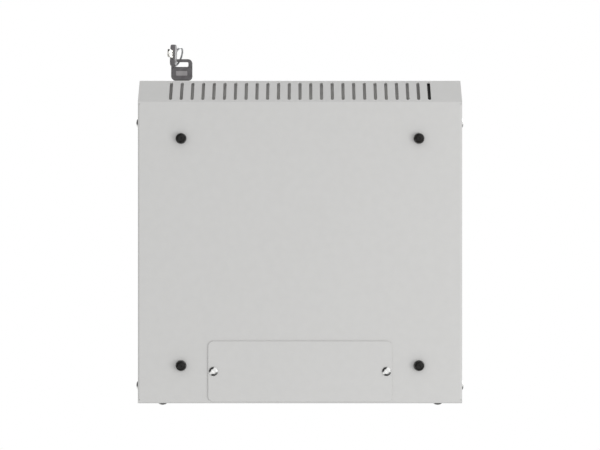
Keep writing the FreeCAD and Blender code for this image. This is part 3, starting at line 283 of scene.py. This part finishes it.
def handling_group():
    """Faint clouds where a surface has been touched and wiped: a roughness between two values."""
    defaults = {"Clean": 0.3, "Marked": 0.4, "Scale": 14.0}
    group, given, result = new_group("handling marks", defaults, ["Roughness"])
    place = new_node(group, "ShaderNodeTexCoord")
    clouds = new_node(group, "ShaderNodeTexNoise", {"Detail": 5.0, "Distortion": 0.6})
    edge = new_node(group, "ShaderNodeMapRange", {"From Min": 0.42, "From Max": 0.68})
    edge.interpolation_type = "SMOOTHSTEP"
    rough = new_node(group, "ShaderNodeMapRange")
    group.links.new(place.outputs["Object"], clouds.inputs["Vector"])
    group.links.new(given.outputs["Scale"], clouds.inputs["Scale"])
    group.links.new(clouds.outputs["Fac"], edge.inputs["Value"])
    group.links.new(edge.outputs["Result"], rough.inputs["Value"])
    group.links.new(given.outputs["Clean"], rough.inputs["To Min"])
    group.links.new(given.outputs["Marked"], rough.inputs["To Max"])
    group.links.new(rough.outputs["Result"], result.inputs["Roughness"])
    return group


fine_grain = grain_group()
hairlines = hairline_group()
handling = handling_group()
print("node groups:", [group.name for group in bpy.data.node_groups])

# %% [markdown]
# ## Finishes
# Every finish is one Principled shader. What changes over the surface comes from the shared groups,
# and what is the same everywhere is set on the shader itself. Colours are written as they are read
# from a picture, in 0 to 255, and are turned into the linear values that the shader works in.


# %% Helpers for finishes
finishes = {}


def linear(*levels):
    """A shader colour from levels of 0 to 255 as a picture has them, by the sRGB curve."""
    values = []
    for level in levels:
        share = level / 255
        values.append(share / 12.92 if share <= 0.04045 else ((share + 0.055) / 1.055) ** 2.4)
    return (*values, 1)


def finish(name, **fixed):
    """A new finish with a Principled shader, whose plain sockets are set from fixed."""
    material = bpy.data.materials.new(name)
    material.use_nodes = True
    finishes[name] = material
    shader = material.node_tree.nodes["Principled BSDF"]
    for label, value in fixed.items():
        shader.inputs[label.replace("_", " ")].default_value = value
    return material.node_tree, shader


def use(tree, group, **values):
    """Places a shared group in a material with its own values."""
    node = new_node(tree, "ShaderNodeGroup")
    node.node_tree = group
    for label, value in values.items():
        node.inputs[label.replace("_", " ")].default_value = value
    return node


def wear(tree, shader, clean, marked, scale):
    """Roughness between clean and marked, as the handling marks have it."""
    marks = use(tree, handling, Clean=clean, Marked=marked, Scale=scale)
    tree.links.new(marks.outputs["Roughness"], shader.inputs["Roughness"])


def bump(tree, shader, height, depth):
    """Lets a height socket tilt the surface by a depth in metres."""
    node = new_node(tree, "ShaderNodeBump", {"Distance": depth, "Strength": 1.0})
    tree.links.new(height, node.inputs["Height"])
    tree.links.new(node.outputs["Normal"], shader.inputs["Normal"])


def two_tones(tree, shader, mask, low, high):
    """Base colour between two close colours, as mask goes from 0.3 to 0.7."""
    spread = new_node(tree, "ShaderNodeMapRange", {"From Min": 0.3, "From Max": 0.7})
    mix = new_node(tree, "ShaderNodeMix")
    mix.data_type = "RGBA"
    mix.inputs[6].default_value = low
    mix.inputs[7].default_value = high
    tree.links.new(mask, spread.inputs["Value"])
    tree.links.new(spread.outputs["Result"], mix.inputs["Factor"])
    tree.links.new(mix.outputs[2], shader.inputs["Base Color"])


# %% Powder coat
def powder_coat(name, low, high):
    """Pale grey baked powder: matt, with a fine orange-peel grain."""
    tree, shader = finish(name, Specular_IOR_Level=0.4)
    grain = use(tree, fine_grain, Scale=1100.0, Softness=0.55)
    two_tones(tree, shader, grain.outputs["Tone"], low, high)
    bump(tree, shader, grain.outputs["Height"], 0.00004)
    wear(tree, shader, clean=0.46, marked=0.56, scale=9.0)


powder_coat("grey_powder_coat", linear(207, 206, 204), linear(209, 208, 206))


# %% Plated metals
def plated(name, low, high, clean, marked, scale, across, depth):
    """Plated steel or brass with hairlines across the given axes."""
    tree, shader = finish(name, Metallic=1.0)
    lines = use(tree, hairlines, Scale=scale, Across_X=across[0], Across_Y=across[1], Across_Z=across[2])
    two_tones(tree, shader, lines.outputs["Gloss"], low, high)
    bump(tree, shader, lines.outputs["Height"], depth)
    wear(tree, shader, clean, marked, scale=40.0)


plated("zinc_plated_steel", linear(178, 180, 182), linear(205, 207, 208),
       clean=0.3, marked=0.45, scale=260.0, across=(1, 1, 0.08), depth=0.00002)
plated("bright_plated_steel", linear(236, 236, 235), linear(248, 248, 247),
       clean=0.06, marked=0.11, scale=400.0, across=(1, 1, 1), depth=0.000004)
plated("nickel_plated_brass", linear(206, 205, 200), linear(222, 220, 214),
       clean=0.14, marked=0.24, scale=500.0, across=(1, 1, 0.2), depth=0.000008)


# %% Rubber, plastics and nylon
def moulded(name, low, high, clean, marked, scale, depth, **fixed):
    """A moulded part: even colour, fine grain, and a sheen that handling changes."""
    tree, shader = finish(name, **fixed)
    grain = use(tree, fine_grain, Scale=scale, Softness=0.5)
    two_tones(tree, shader, grain.outputs["Tone"], low, high)
    bump(tree, shader, grain.outputs["Height"], depth)
    wear(tree, shader, clean, marked, scale=60.0)


moulded("black_rubber", linear(22, 21, 20), linear(36, 35, 33),
        clean=0.3, marked=0.42, scale=2600.0, depth=0.00001, Specular_IOR_Level=0.25)
moulded("black_plastic", linear(26, 26, 26), linear(36, 36, 36),
        clean=0.42, marked=0.55, scale=1500.0, depth=0.00003)
moulded("key_plastic", linear(102, 99, 101), linear(121, 118, 120),
        clean=0.38, marked=0.5, scale=1800.0, depth=0.00003)
moulded("pale_key_pad", linear(166, 162, 163), linear(182, 178, 179),
        clean=0.3, marked=0.42, scale=1800.0, depth=0.00002)
moulded("white_nylon", linear(224, 223, 217), linear(233, 232, 227),
        clean=0.4, marked=0.5, scale=1600.0, depth=0.00001, Subsurface_Weight=0.1)


# %% Glass
def smoked_glass(name, tint):
    """Tempered glass with a light tint and faint wipe marks, which lets tinted light through."""
    tree, shader = finish(name, Base_Color=tint, Transmission_Weight=1.0, IOR=1.52, Metallic=0.0)
    wear(tree, shader, clean=0.01, marked=0.05, scale=7.0)
    path = new_node(tree, "ShaderNodeLightPath")
    clear = new_node(tree, "ShaderNodeBsdfTransparent", {"Color": tint})
    blend = new_node(tree, "ShaderNodeMixShader")
    tree.links.new(path.outputs["Is Shadow Ray"], blend.inputs["Fac"])
    tree.links.new(shader.outputs[0], blend.inputs[1])
    tree.links.new(clear.outputs[0], blend.inputs[2])
    tree.links.new(blend.outputs[0], tree.nodes["Material Output"].inputs["Surface"])


smoked_glass("tempered_glass", linear(150, 154, 156))

# %% [markdown]
# The record says which finish each part has. Going through that list, instead of naming parts here,
# keeps the picture and the record in step.

# %% Paint the CAD parts
for name, slot in slots.items():
    mesh = nodes[name].data
    mesh.materials.clear()
    mesh.materials.append(finishes[slot])
print("painted", len(slots), "nodes in", len(finishes), "finishes")

# %% [markdown]
# ## Turned shapes
# Feet, screw heads and the lock's rim are all turned shapes. A spin of a drawn profile would make
# them, but its seam and pole need cleaning. Here a short cylinder is grown instead: its top face is
# extruded and resized ring by ring, which gives clean quads all round and one closed cap.


# %% Helpers for modelling
FACING = 0.9
SMOOTH_BELOW = math.radians(40)


def deselect():
    """Nothing stays selected or in edit mode, so that the next operator acts on the new piece alone."""
    if bpy.context.object and bpy.context.object.mode == "EDIT":
        bpy.ops.object.mode_set(mode="OBJECT")
    bpy.ops.object.select_all(action="DESELECT")


def pick(test, kind="FACE"):
    """In edit mode, selects what passes a test of its middle and its normal, or an edge's direction."""
    bpy.ops.mesh.select_mode(type=kind)
    bpy.ops.mesh.select_all(action="DESELECT")
    mesh = bmesh.from_edit_mesh(bpy.context.object.data)
    if kind == "FACE":
        chosen = [f for f in mesh.faces if test(f.calc_center_median(), f.normal)]
    elif kind == "EDGE":
        ends = [(e, e.verts[0].co, e.verts[1].co) for e in mesh.edges]
        chosen = [e for e, one, other in ends if test((one + other) / 2, other - one)]
    else:
        chosen = [v for v in mesh.verts if test(v.co, v.normal)]
    for item in chosen:
        item.select_set(True)
    bmesh.update_edit_mesh(bpy.context.object.data)
    return len(chosen)


def turned(name, profile, vertices=48):
    """A closed turned shape along +Z, from (radius, height) steps in millimetres, at the origin."""
    deselect()
    (radius, low), (second, high) = profile[:2]
    bpy.ops.mesh.primitive_cylinder_add(vertices=vertices, radius=radius * MM, depth=(high - low) * MM,
                                        location=(0, 0, (low + high) / 2 * MM))
    piece = bpy.context.object
    piece.name = name
    piece.data.name = name
    bpy.ops.object.transform_apply(location=True, rotation=True, scale=True)
    bpy.ops.object.mode_set(mode="EDIT")
    pick(lambda middle, normal: normal.z > FACING)
    middle = (0, 0, high * MM)
    bpy.ops.transform.resize(value=(second / radius, second / radius, 1), center_override=middle)
    for radius, height in profile[2:]:
        bpy.ops.mesh.extrude_region_move(TRANSFORM_OT_translate={"value": (0, 0, (height - high) * MM)})
        middle = (0, 0, height * MM)
        bpy.ops.transform.resize(value=(radius / second, radius / second, 1), center_override=middle)
        second, high = radius, height
    bpy.ops.mesh.select_all(action="SELECT")
    bpy.ops.mesh.normals_make_consistent(inside=False)
    bpy.ops.object.mode_set(mode="OBJECT")
    return piece


def block(middle, size):
    """A box round a middle, with its size in millimetres."""
    deselect()
    bpy.ops.mesh.primitive_cube_add(size=MM, location=middle)
    piece = bpy.context.object
    piece.scale = size
    bpy.ops.object.transform_apply(location=True, rotation=True, scale=True)
    return piece


def soften(piece, width, segments=2, angle=35):
    """Applies a small bevel, in millimetres, to edges over an angle and shades the rest smooth."""
    deselect()
    piece.select_set(True)
    bpy.context.view_layer.objects.active = piece
    bpy.ops.object.shade_smooth_by_angle(angle=SMOOTH_BELOW)
    bevel = piece.modifiers.new("edges", "BEVEL")
    bevel.width = width * MM
    bevel.segments = segments
    bevel.limit_method = "ANGLE"
    bevel.angle_limit = math.radians(angle)
    bevel.harden_normals = True
    bpy.ops.object.modifier_apply(modifier="edges")


def copy_to(piece, name, place):
    """A copy of a piece with its own mesh, whose place is in that mesh."""
    copy = bpy.data.objects.new(name, piece.data.copy())
    bpy.context.scene.collection.objects.link(copy)
    copy.data.name = name
    copy.data.transform(place)
    return copy


def facing(seat, direction):
    """The place of a shape modelled along +Z, when it stands at seat and points in direction."""
    turn = Vector(direction).to_track_quat("Z", "Y").to_matrix().to_4x4()
    return Matrix.Translation(seat) @ turn


def dress(piece, material, body, *replaced, slot=None):
    """Gives a piece its finish and its body, and hides the CAD nodes that it stands for."""
    piece.data.materials.clear()
    piece.data.materials.append(finishes[material])
    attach(piece, body)
    if replaced:
        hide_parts(*replaced)


def stand_in(piece, node):
    """Dresses a piece as the CAD node that it replaces."""
    dress(piece, slots[node], body_names[node], node)


def joined(name, pieces):
    """Several pieces as one object."""
    deselect()
    for piece in pieces:
        piece.select_set(True)
    bpy.context.view_layer.objects.active = pieces[0]
    bpy.ops.object.join()
    pieces[0].name = name
    pieces[0].data.name = name
    return pieces[0]


def discard(*pieces):
    """Removes the pattern pieces that only served to make copies."""
    for piece in pieces:
        bpy.data.objects.remove(piece, do_unlink=True)


def middle_of(name):
    """The middle of a CAD part's box."""
    low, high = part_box(name)
    return (low + high) / 2


def size_of(piece):
    """The piece's size in millimetres, for printing."""
    return tuple(round(v / MM, 1) for v in piece.dimensions)


# %% [markdown]
# ## Rubber feet
# Each foot is a black rubber button, pushed into a hole in the bottom panel. Its moulded rim is flat
# against the paint, its flank rises steeply and rolls over into a dome with a shallow dimple where the
# mould's gate was. Only a turned shape fits that, and the roll-over needs enough rings for a soft
# highlight. Both outlines are steps of radius and height in millimetres: the button's away from the
# panel, and the barb's up into the cabinet.

# %% Feet
FOOT = [(4.6, 0.0), (5.0, 0.25), (5.0, 0.8), (4.85, 1.0), (4.85, 2.3), (4.78, 3.2), (4.55, 4.2), (4.1, 5.15),
        (3.4, 5.9), (2.5, 6.35), (1.5, 6.5), (1.2, 6.42), (0.9, 6.2), (0.5, 6.12)]
BARB = [(2.4, 0.0), (2.4, 1.25), (3.5, 1.3), (3.4, 1.7), (1.5, 4.3), (1.2, 4.45)]
foot = turned("foot pattern", FOOT)
barb = turned("barb pattern", BARB, vertices=32)
soften(foot, 0.08, angle=30)
soften(barb, 0.08, angle=30)
for name in sorted(nodes):
    if name.startswith("rubber_foot"):
        seat = middle_of(name)
        seat.z = bottom_low.z
        button = copy_to(foot, name + "_button", facing(seat, (0, 0, -1)))
        stem = copy_to(barb, name + "_stem", facing(seat, (0, 0, 1)))
        whole = joined(name + "_moulding", [button, stem])
        stand_in(whole, name)
discard(foot, barb)
print("feet", size_of(whole))

# %% [markdown]
# ## Screws
# The cabinet is held together with round pan-head screws. A head is turned, then a cross recess is cut
# into it with a boolean, because a tapered cross that only touches the dome can't be grown from the
# head's own faces without spoiling its roundness. The cutter is one cube, drawn out in four arms and
# tapered towards its tip.


# %% Helpers for screws
def cross_cutter(width, reach, depth, top):
    """A tapered cross along -Z, standing from top down by depth."""
    beyond_middle = 0.45 * width * MM
    tip_share = 0.45
    cutter = block((0, 0, (top + width / 2) * MM), (width, width, width))
    bpy.ops.object.mode_set(mode="EDIT")
    for way in (Vector((1, 0, 0)), Vector((-1, 0, 0)), Vector((0, 1, 0)), Vector((0, -1, 0))):
        pick(lambda middle, normal: normal.dot(way) > FACING and middle.dot(way) > beyond_middle)
        bpy.ops.mesh.extrude_region_move(TRANSFORM_OT_translate={"value": way * (reach - width / 2) * MM})
    pick(lambda middle, normal: normal.z < -FACING)
    bpy.ops.mesh.extrude_region_move(TRANSFORM_OT_translate={"value": (0, 0, -depth * MM)})
    bpy.ops.transform.resize(value=(tip_share, tip_share, 1), center_override=(0, 0, (top - depth) * MM))
    bpy.ops.object.mode_set(mode="OBJECT")
    return cutter


def subtract(piece, cutter):
    """Cuts one piece out of another and removes the cutter."""
    deselect()
    piece.select_set(True)
    bpy.context.view_layer.objects.active = piece
    cut = piece.modifiers.new("cut", "BOOLEAN")
    cut.operation = "DIFFERENCE"
    cut.solver = "EXACT"
    cut.object = cutter
    bpy.ops.object.modifier_apply(modifier="cut")
    discard(cutter)


def dome_rings(radius, height, rim):
    """Profile steps of a head: a chamfered upright rim, then a circular dome with a small flat top."""
    chamfer = 0.12
    rings = 7
    flat = radius * 0.06
    rise = height - rim
    sphere = (radius ** 2 + rise ** 2) / (2 * rise)
    steps = [(radius - chamfer, 0.0), (radius, chamfer), (radius, rim)]
    for i in range(1, rings + 1):
        r = max(radius * math.cos(math.pi / 2 * i / rings), flat)
        steps.append((r, height - sphere + math.sqrt(sphere ** 2 - r ** 2)))
    return steps


def threads(radius, length):
    """Profile steps of a threaded shank: ridges and grooves in turn, with a chamfered tip."""
    pitch = 0.8
    groove_depth = pitch * 0.45
    tip_share = 0.7
    steps = []
    height = 0.0
    while height < length - pitch:
        steps += [(radius, height), (radius - groove_depth, height + pitch / 2)]
        height += pitch
    return steps + [(radius, height), (radius * tip_share, length)]


def screw(name, radius, height, rim, shank_radius, shank, edge):
    """A pan-head screw at the origin, its head along +Z and its shank along -Z, with soft edges."""
    head = turned(name, dome_rings(radius, height, rim))
    subtract(head, cross_cutter(width=radius * 0.2, reach=radius * 0.52, depth=height * 0.55,
                                top=height * 0.93))
    thread = turned(name + " shank", threads(shank_radius, shank), vertices=20)
    thread.data.transform(Matrix.Rotation(math.pi, 4, "X"))
    whole = joined(name, [head, thread])
    soften(whole, edge, segments=1, angle=40)
    return whole


def seat_screws(node, pattern, places):
    """Copies of a screw at the places of a CAD node's screws, as (seat, direction of the head)."""
    copies = [copy_to(pattern, pattern.name, facing(Vector(seat), way)) for seat, way in places]
    stand_in(joined(node + "_turned", copies), node)
    print(node, len(places), "screws")


def ends_of_row(low, high, radius):
    """The first and the last middle in a row of round heads that reaches from low to high."""
    return low + radius * MM, high - radius * MM


# %% Assembly screws in the sides and the back
HEAD_R = 5.0
assembly = screw("assembly screw", HEAD_R, height=3.3, rim=1.0, shank_radius=2.5, shank=9.0, edge=0.06)
low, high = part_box("side_screws")
row_z = high.z - HEAD_R * MM
places = [((x * bottom_high.x, y, z), (x, 0, 0))
          for x in (-1, 1) for y in ends_of_row(low.y, high.y, HEAD_R) for z in (-row_z, row_z)]
seat_screws("side_screws", assembly, places)
low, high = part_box("rear_screws")
places = [((x, bottom_high.y, z), (0, 1, 0))
          for x in ends_of_row(low.x, high.x, HEAD_R) for z in (-row_z, row_z)]
seat_screws("rear_screws", assembly, places)
discard(assembly)

# %% Cover screws
COVER_HEAD_R = 4.15
cover_screw = screw("cover screw", COVER_HEAD_R, height=2.4, rim=0.7, shank_radius=2.0, shank=8.0, edge=0.05)
for level, way in (("bottom", -1), ("top", 1)):
    low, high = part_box(level + "_cover_screws")
    plate_low, plate_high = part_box(level + "_entry_cover")
    face_z = plate_low.z if way < 0 else plate_high.z
    places = [((x, (low.y + high.y) / 2, face_z), (0, 0, way))
              for x in ends_of_row(low.x, high.x, COVER_HEAD_R)]
    seat_screws(level + "_cover_screws", cover_screw, places)
discard(cover_screw)

# %% Screws inside the cabinet
RAIL_HEAD_R, RAIL_SHANK = 4.5, 8.7
rail_screw = screw("rail screw", RAIL_HEAD_R, height=2.6, rim=0.8, shank_radius=2.5,
                   shank=RAIL_SHANK, edge=0.05)
low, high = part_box("rail_screws")
seat_x, seat_z = high.x - RAIL_SHANK * MM, high.z - RAIL_HEAD_R * MM
places = [((x * seat_x, (low.y + high.y) / 2, z), (-x, 0, 0)) for x in (-1, 1) for z in (-seat_z, seat_z)]
seat_screws("rail_screws", rail_screw, places)

BLOCK_HEAD_R, BLOCK_SHANK = 3.2, 3.4
block_screw = screw("hinge block screw", BLOCK_HEAD_R, height=0.9, rim=0.45, shank_radius=1.5,
                    shank=BLOCK_SHANK, edge=0.04)
low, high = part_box("hinge_block_screws")
seat_z = high.z - BLOCK_SHANK * MM
places = [((x, (low.y + high.y) / 2, -z * seat_z), (0, 0, z))
          for x in ends_of_row(low.x, high.x, BLOCK_HEAD_R) for z in (-1, 1)]
seat_screws("hinge_block_screws", block_screw, places)

CAM_HEAD_R, CAM_HEAD_HEIGHT = 4.0, 2.5
low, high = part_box("cam_screw")
cam_seat = (middle_of("cam_screw").x, high.y - CAM_HEAD_HEIGHT * MM, 0)
cam_screw = screw("cam screw", CAM_HEAD_R, CAM_HEAD_HEIGHT, rim=0.7, shank_radius=2.0,
                  shank=(high.y - low.y) / MM - CAM_HEAD_HEIGHT, edge=0.05)
seat_screws("cam_screw", cam_screw, [(cam_seat, (0, 1, 0))])
discard(rail_screw, block_screw, cam_screw)

# %% [markdown]
# ## Folded steel with soft edges
# Powder coat flows back from a sheared edge, so no edge of the cabinet is razor sharp, and each one
# catches a thin line of light. The CAD solids have ideal edges. The shapes are right, so nothing is
# modelled again: a copy of the CAD mesh is merged into one skin, its flat faces are joined, and a
# bevel of a few tenths of a millimetre goes along every sharp edge.


# %% Soft-edged copies
MERGE_WITHIN = 0.002
FLAT_BELOW = math.radians(0.6)


def cad_copy(name, label):
    """A CAD part's shape again, as one merged skin with whole flat faces."""
    deselect()
    piece = bpy.data.objects.new(label, nodes[name].data.copy())
    bpy.context.scene.collection.objects.link(piece)
    piece.data.name = label
    piece.select_set(True)
    bpy.context.view_layer.objects.active = piece
    if piece.data.has_custom_normals:
        bpy.ops.mesh.customdata_custom_splitnormals_clear()
    bpy.ops.object.mode_set(mode="EDIT")
    bpy.ops.mesh.select_all(action="SELECT")
    bpy.ops.mesh.remove_doubles(threshold=MERGE_WITHIN * MM)
    bpy.ops.mesh.dissolve_limited(angle_limit=FLAT_BELOW)
    bpy.ops.object.mode_set(mode="OBJECT")
    return piece


def soft_edged(name, width, segments=2):
    """A CAD part with bevelled edges, in its own finish and on its own body."""
    piece = cad_copy(name, name + "_softened")
    soften(piece, width, segments)
    stand_in(piece, name)
    return piece


# %% Sheet metal
sheets = (("bottom_panel", 0.16), ("top_panel", 0.16), ("left_side_panel", 0.16), ("right_side_panel", 0.16),
          ("rear_panel", 0.16), ("door_frame", 0.2), ("bottom_entry_cover", 0.3), ("top_entry_cover", 0.3))
for name, width in sheets:
    piece = soft_edged(name, width)
    print(name, size_of(piece), len(piece.data.polygons), "faces")

# %% Rails, channels and clips
SIDES = ("left", "right")
inner_steel = [(side + "_rail", 0.15) for side in SIDES]
inner_steel += [(level + "_" + side + "_channel", 0.15) for level in ("upper", "lower") for side in SIDES]
inner_steel += [(name, 0.12) for name in sorted(nodes) if name.startswith("glass_clip_")]
for name, width in inner_steel:
    soft_edged(name, width, segments=1)
print("softened", len(inner_steel), "inner parts")

# %% Hinges, stud and bumpers
small_parts = (("lower_hinge_block", 0.5), ("upper_hinge_block", 0.5), ("pin_guide", 0.15),
               ("lower_hinge_pin", 0.2), ("hinge_washer", 0.15), ("earth_stud", 0.1), ("earth_nuts", 0.25),
               ("earth_washer", 0.12), ("rail_nuts", 0.2), ("weld_nuts", 0.2), ("cover_weld_nuts", 0.2),
               ("door_bumpers", 0.4), ("glass_gasket", 0.2), ("door_glass", 0.3))
for name, width in small_parts:
    piece = soft_edged(name, width)
    print(name, size_of(piece))

# %% [markdown]
# The release pin runs in the upper block with only 0.05 mm to spare. Both round shapes are polygons
# in a mesh, and a corner of one would poke through a flat of the other, so the pin's shank is drawn
# a little slimmer. More segments would also do it, but the CAD copy has those that it has.

# %% Release pin
SHANK_LIMIT = 2.6
SLIMMER = 0.965
hinge_x, hinge_y, _ = joints["door_hinge"]["pos_m"]


def on_shank(point, normal):
    """Whether a point is as near to the pin's axis as its shank is."""
    return math.hypot(point.x - hinge_x, point.y - hinge_y) < SHANK_LIMIT * MM


pin = cad_copy("hinge_release_pin", "hinge_release_pin_softened")
bpy.ops.object.mode_set(mode="EDIT")
moved = pick(on_shank, "VERT")
bpy.ops.transform.resize(value=(SLIMMER, SLIMMER, 1), center_override=(hinge_x, hinge_y, 0))
bpy.ops.object.mode_set(mode="OBJECT")
soften(pin, 0.2)
stand_in(pin, "hinge_release_pin")
print("release pin", size_of(pin), moved, "points of its shank")

# %% [markdown]
# ## The lock and its keys
# The lock is nickel plated, and its rims are rounded by polishing. The keys have a flat blade with two
# milled grooves on each side, in a moulded head. One key is modelled and copied to the spare's place,
# because the two are the same key. The head has a paler bare pad sunk in its thick half.

# %% Lock
for name, width in (("lock_barrel", 0.25), ("lock_plug", 0.15), ("lock_nut", 0.3), ("lock_cam", 0.2)):
    piece = soft_edged(name, width)
    print(name, size_of(piece))

# %% Place of the spare key
SPARE_LEAN = math.radians(6)
LOOP_BAR = 3.0
key_low, key_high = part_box("key_head")
key_middle = middle_of("key_head")
key_bar = Vector((key_middle.x, key_low.y + LOOP_BAR / 2 * MM, 0))
across = Vector(joints["spare_key_swing"]["axis"]).normalized()
down = Matrix.Rotation(SPARE_LEAN, 3, across) @ Vector((0, 0, -1))
hung = Matrix((across, down, across.cross(down))).transposed().to_4x4()
spare_place = Matrix.Translation(joints["spare_key_swing"]["pos_m"]) @ hung @ Matrix.Translation(-key_bar)
print("spare key hangs at", joints["spare_key_swing"]["pos_m"])

# %% Blades
GROOVE_OFFSETS = (-1.5, 0.9)
GROOVE_SIZE = (1.1, 25.0, 0.9)
GROOVE_FROM_END = 12.7
blade = cad_copy("key_blade", "key_blade_milled")
blade_x = middle_of("key_blade").x
blade_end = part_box("key_blade")[1]
for offset in GROOVE_OFFSETS:
    for side in (-1, 1):
        place = (blade_x + offset * MM, blade_end.y - GROOVE_FROM_END * MM, side * blade_end.z)
        subtract(blade, block(place, GROOVE_SIZE))
soften(blade, 0.1, segments=1)
spare_blade = copy_to(blade, "spare_key_blade_milled", spare_place)
stand_in(blade, "key_blade")
stand_in(spare_blade, "spare_key_blade")
print("blades", size_of(blade), size_of(spare_blade))

# %% Heads
head = cad_copy("key_head", "key_head_moulded")
soften(head, 0.25)
spare_head = copy_to(head, "spare_key_head_moulded", spare_place)
stand_in(head, "key_head")
stand_in(spare_head, "spare_key_head")
print("heads", size_of(head), size_of(spare_head))

# %% Pads in the key heads
PAD_SIZE = (11.3, 4.7, 0.36)
PAD_FROM_NECK = 7.3
PAD_SUNK = 0.28
PAD_CORNER = 0.8
pads = []
for side in (-1, 1):
    place = (key_middle.x, key_high.y - PAD_FROM_NECK * MM, side * (key_high.z - PAD_SUNK * MM))
    pad = block(place, PAD_SIZE)
    bpy.ops.object.mode_set(mode="EDIT")
    pick(lambda middle, along: abs(along.z) > MM * PAD_SIZE[2] / 2, "EDGE")
    bpy.ops.mesh.bevel(offset=PAD_CORNER * MM, segments=5, affect="EDGES")
    bpy.ops.object.mode_set(mode="OBJECT")
    pads.append(pad)
pad = joined("key_pads", pads)
soften(pad, 0.08)
spare_pad = copy_to(pad, "spare_key_pads", spare_place)
dress(pad, "pale_key_pad", "key", slot="key_plastic")
dress(spare_pad, "pale_key_pad", "spare_key", slot="key_plastic")
print("pads", size_of(pad))

# %% [markdown]
# ## Wound wire
# The split ring and the hinge spring are both wire wound round an axis. A curve with a bevel could
# draw them, but not the ring's flat section or its jog, where one turn passes beside the other. So
# the wire's section is swept round in one plane by a Screw modifier, and then each step of the sweep
# is lifted by its own amount: in one jog for the ring, and turn by turn for the spring.


# %% Helper for wound wire
def wound(name, radius, section_size, corner, turns, steps, rise):
    """Wire of a rounded section wound round +Z. rise gives its lift in mm at a share of the way."""
    deselect()
    bpy.ops.mesh.primitive_plane_add(size=MM, location=(0, 0, 0), rotation=(math.pi / 2, 0, 0))
    wire = bpy.context.object
    wire.name = wire.data.name = name
    wire.scale = (*section_size, 1)
    bpy.ops.object.transform_apply(location=True, rotation=True, scale=True)
    bpy.ops.object.mode_set(mode="EDIT")
    bpy.ops.mesh.select_all(action="SELECT")
    bpy.ops.mesh.bevel(offset=corner * MM, segments=3, affect="VERTICES")
    bpy.ops.mesh.delete(type="ONLY_FACE")
    bpy.ops.mesh.select_all(action="SELECT")
    bpy.ops.transform.translate(value=(radius * MM, 0, 0))
    bpy.ops.object.mode_set(mode="OBJECT")
    section = len(wire.data.vertices)
    sweep = wire.modifiers.new("turns", "SCREW")
    sweep.angle = turns * 2 * math.pi
    sweep.steps = sweep.render_steps = steps
    sweep.use_merge_vertices = False
    bpy.ops.object.modifier_apply(modifier="turns")
    last = len(wire.data.vertices) // section - 1
    for index, point in enumerate(wire.data.vertices):
        point.co.z += rise(index // section / last) * MM
    bpy.ops.object.mode_set(mode="EDIT")
    bpy.ops.mesh.select_all(action="SELECT")
    bpy.ops.mesh.fill_holes(sides=0)
    bpy.ops.mesh.select_all(action="SELECT")
    bpy.ops.mesh.normals_make_consistent(inside=False)
    bpy.ops.object.mode_set(mode="OBJECT")
    bpy.ops.object.shade_smooth_by_angle(angle=SMOOTH_BELOW)
    print(name, size_of(wire), section, "points round its wire,", last, "steps")
    return wire


# %% Split ring
RING_LEAN = math.radians(16)
RING_R = 9.6
RING_WIRE = (1.4, 0.76)
TURN_PITCH = 0.8
JOG_START = 0.47
JOG_LENGTH = 0.06


def jog(share):
    """Half the turns' pitch down at first, and half the pitch up after a smooth jog in the middle."""
    way = min(max((share - JOG_START) / JOG_LENGTH, 0), 1)
    return (way * way * (3 - 2 * way) - 0.5) * TURN_PITCH


inward = Vector(joints["ring_swing"]["axis"]).normalized()
ring_axis = Matrix.Rotation(RING_LEAN, 3, inward) @ inward.cross(Vector((0, 0, 1)))
ring = wound("key_ring_wound", RING_R, RING_WIRE, corner=0.25, turns=1.94, steps=150, rise=jog)
ring.data.transform(facing(middle_of("key_ring"), ring_axis))
stand_in(ring, "key_ring")

# %% [markdown]
# The spring has one closed turn at each end, so that it stands flat on the guide and on the pin's
# collar. It is steel, and it shortens as the pin is pulled.

# %% Hinge spring
SPRING_R = 3.1
SPRING_TURNS = 8
WIRE = 0.8
WIRE_CORNER = 0.39
spring_low, spring_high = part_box("hinge_spring")
spring_height = (spring_high.z - spring_low.z) / MM
climb = spring_height - WIRE


def coils(share):
    """The wire's climb in a closed turn at each end, and in even turns between them."""
    ends = 1 / SPRING_TURNS
    if share < ends:
        return share / ends * WIRE
    if share > 1 - ends:
        return climb - (1 - share) / ends * WIRE
    return WIRE + (share - ends) / (1 - 2 * ends) * (climb - 2 * WIRE)


spring = wound("hinge_spring_wound", SPRING_R, (WIRE, WIRE), WIRE_CORNER, SPRING_TURNS, steps=240, rise=coils)
seat = middle_of("hinge_spring")
seat.z = spring_low.z
spring.data.transform(Matrix.Translation(seat + Vector((0, 0, WIRE / 2 * MM))))
stand_in(spring, "hinge_spring")
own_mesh(spring)
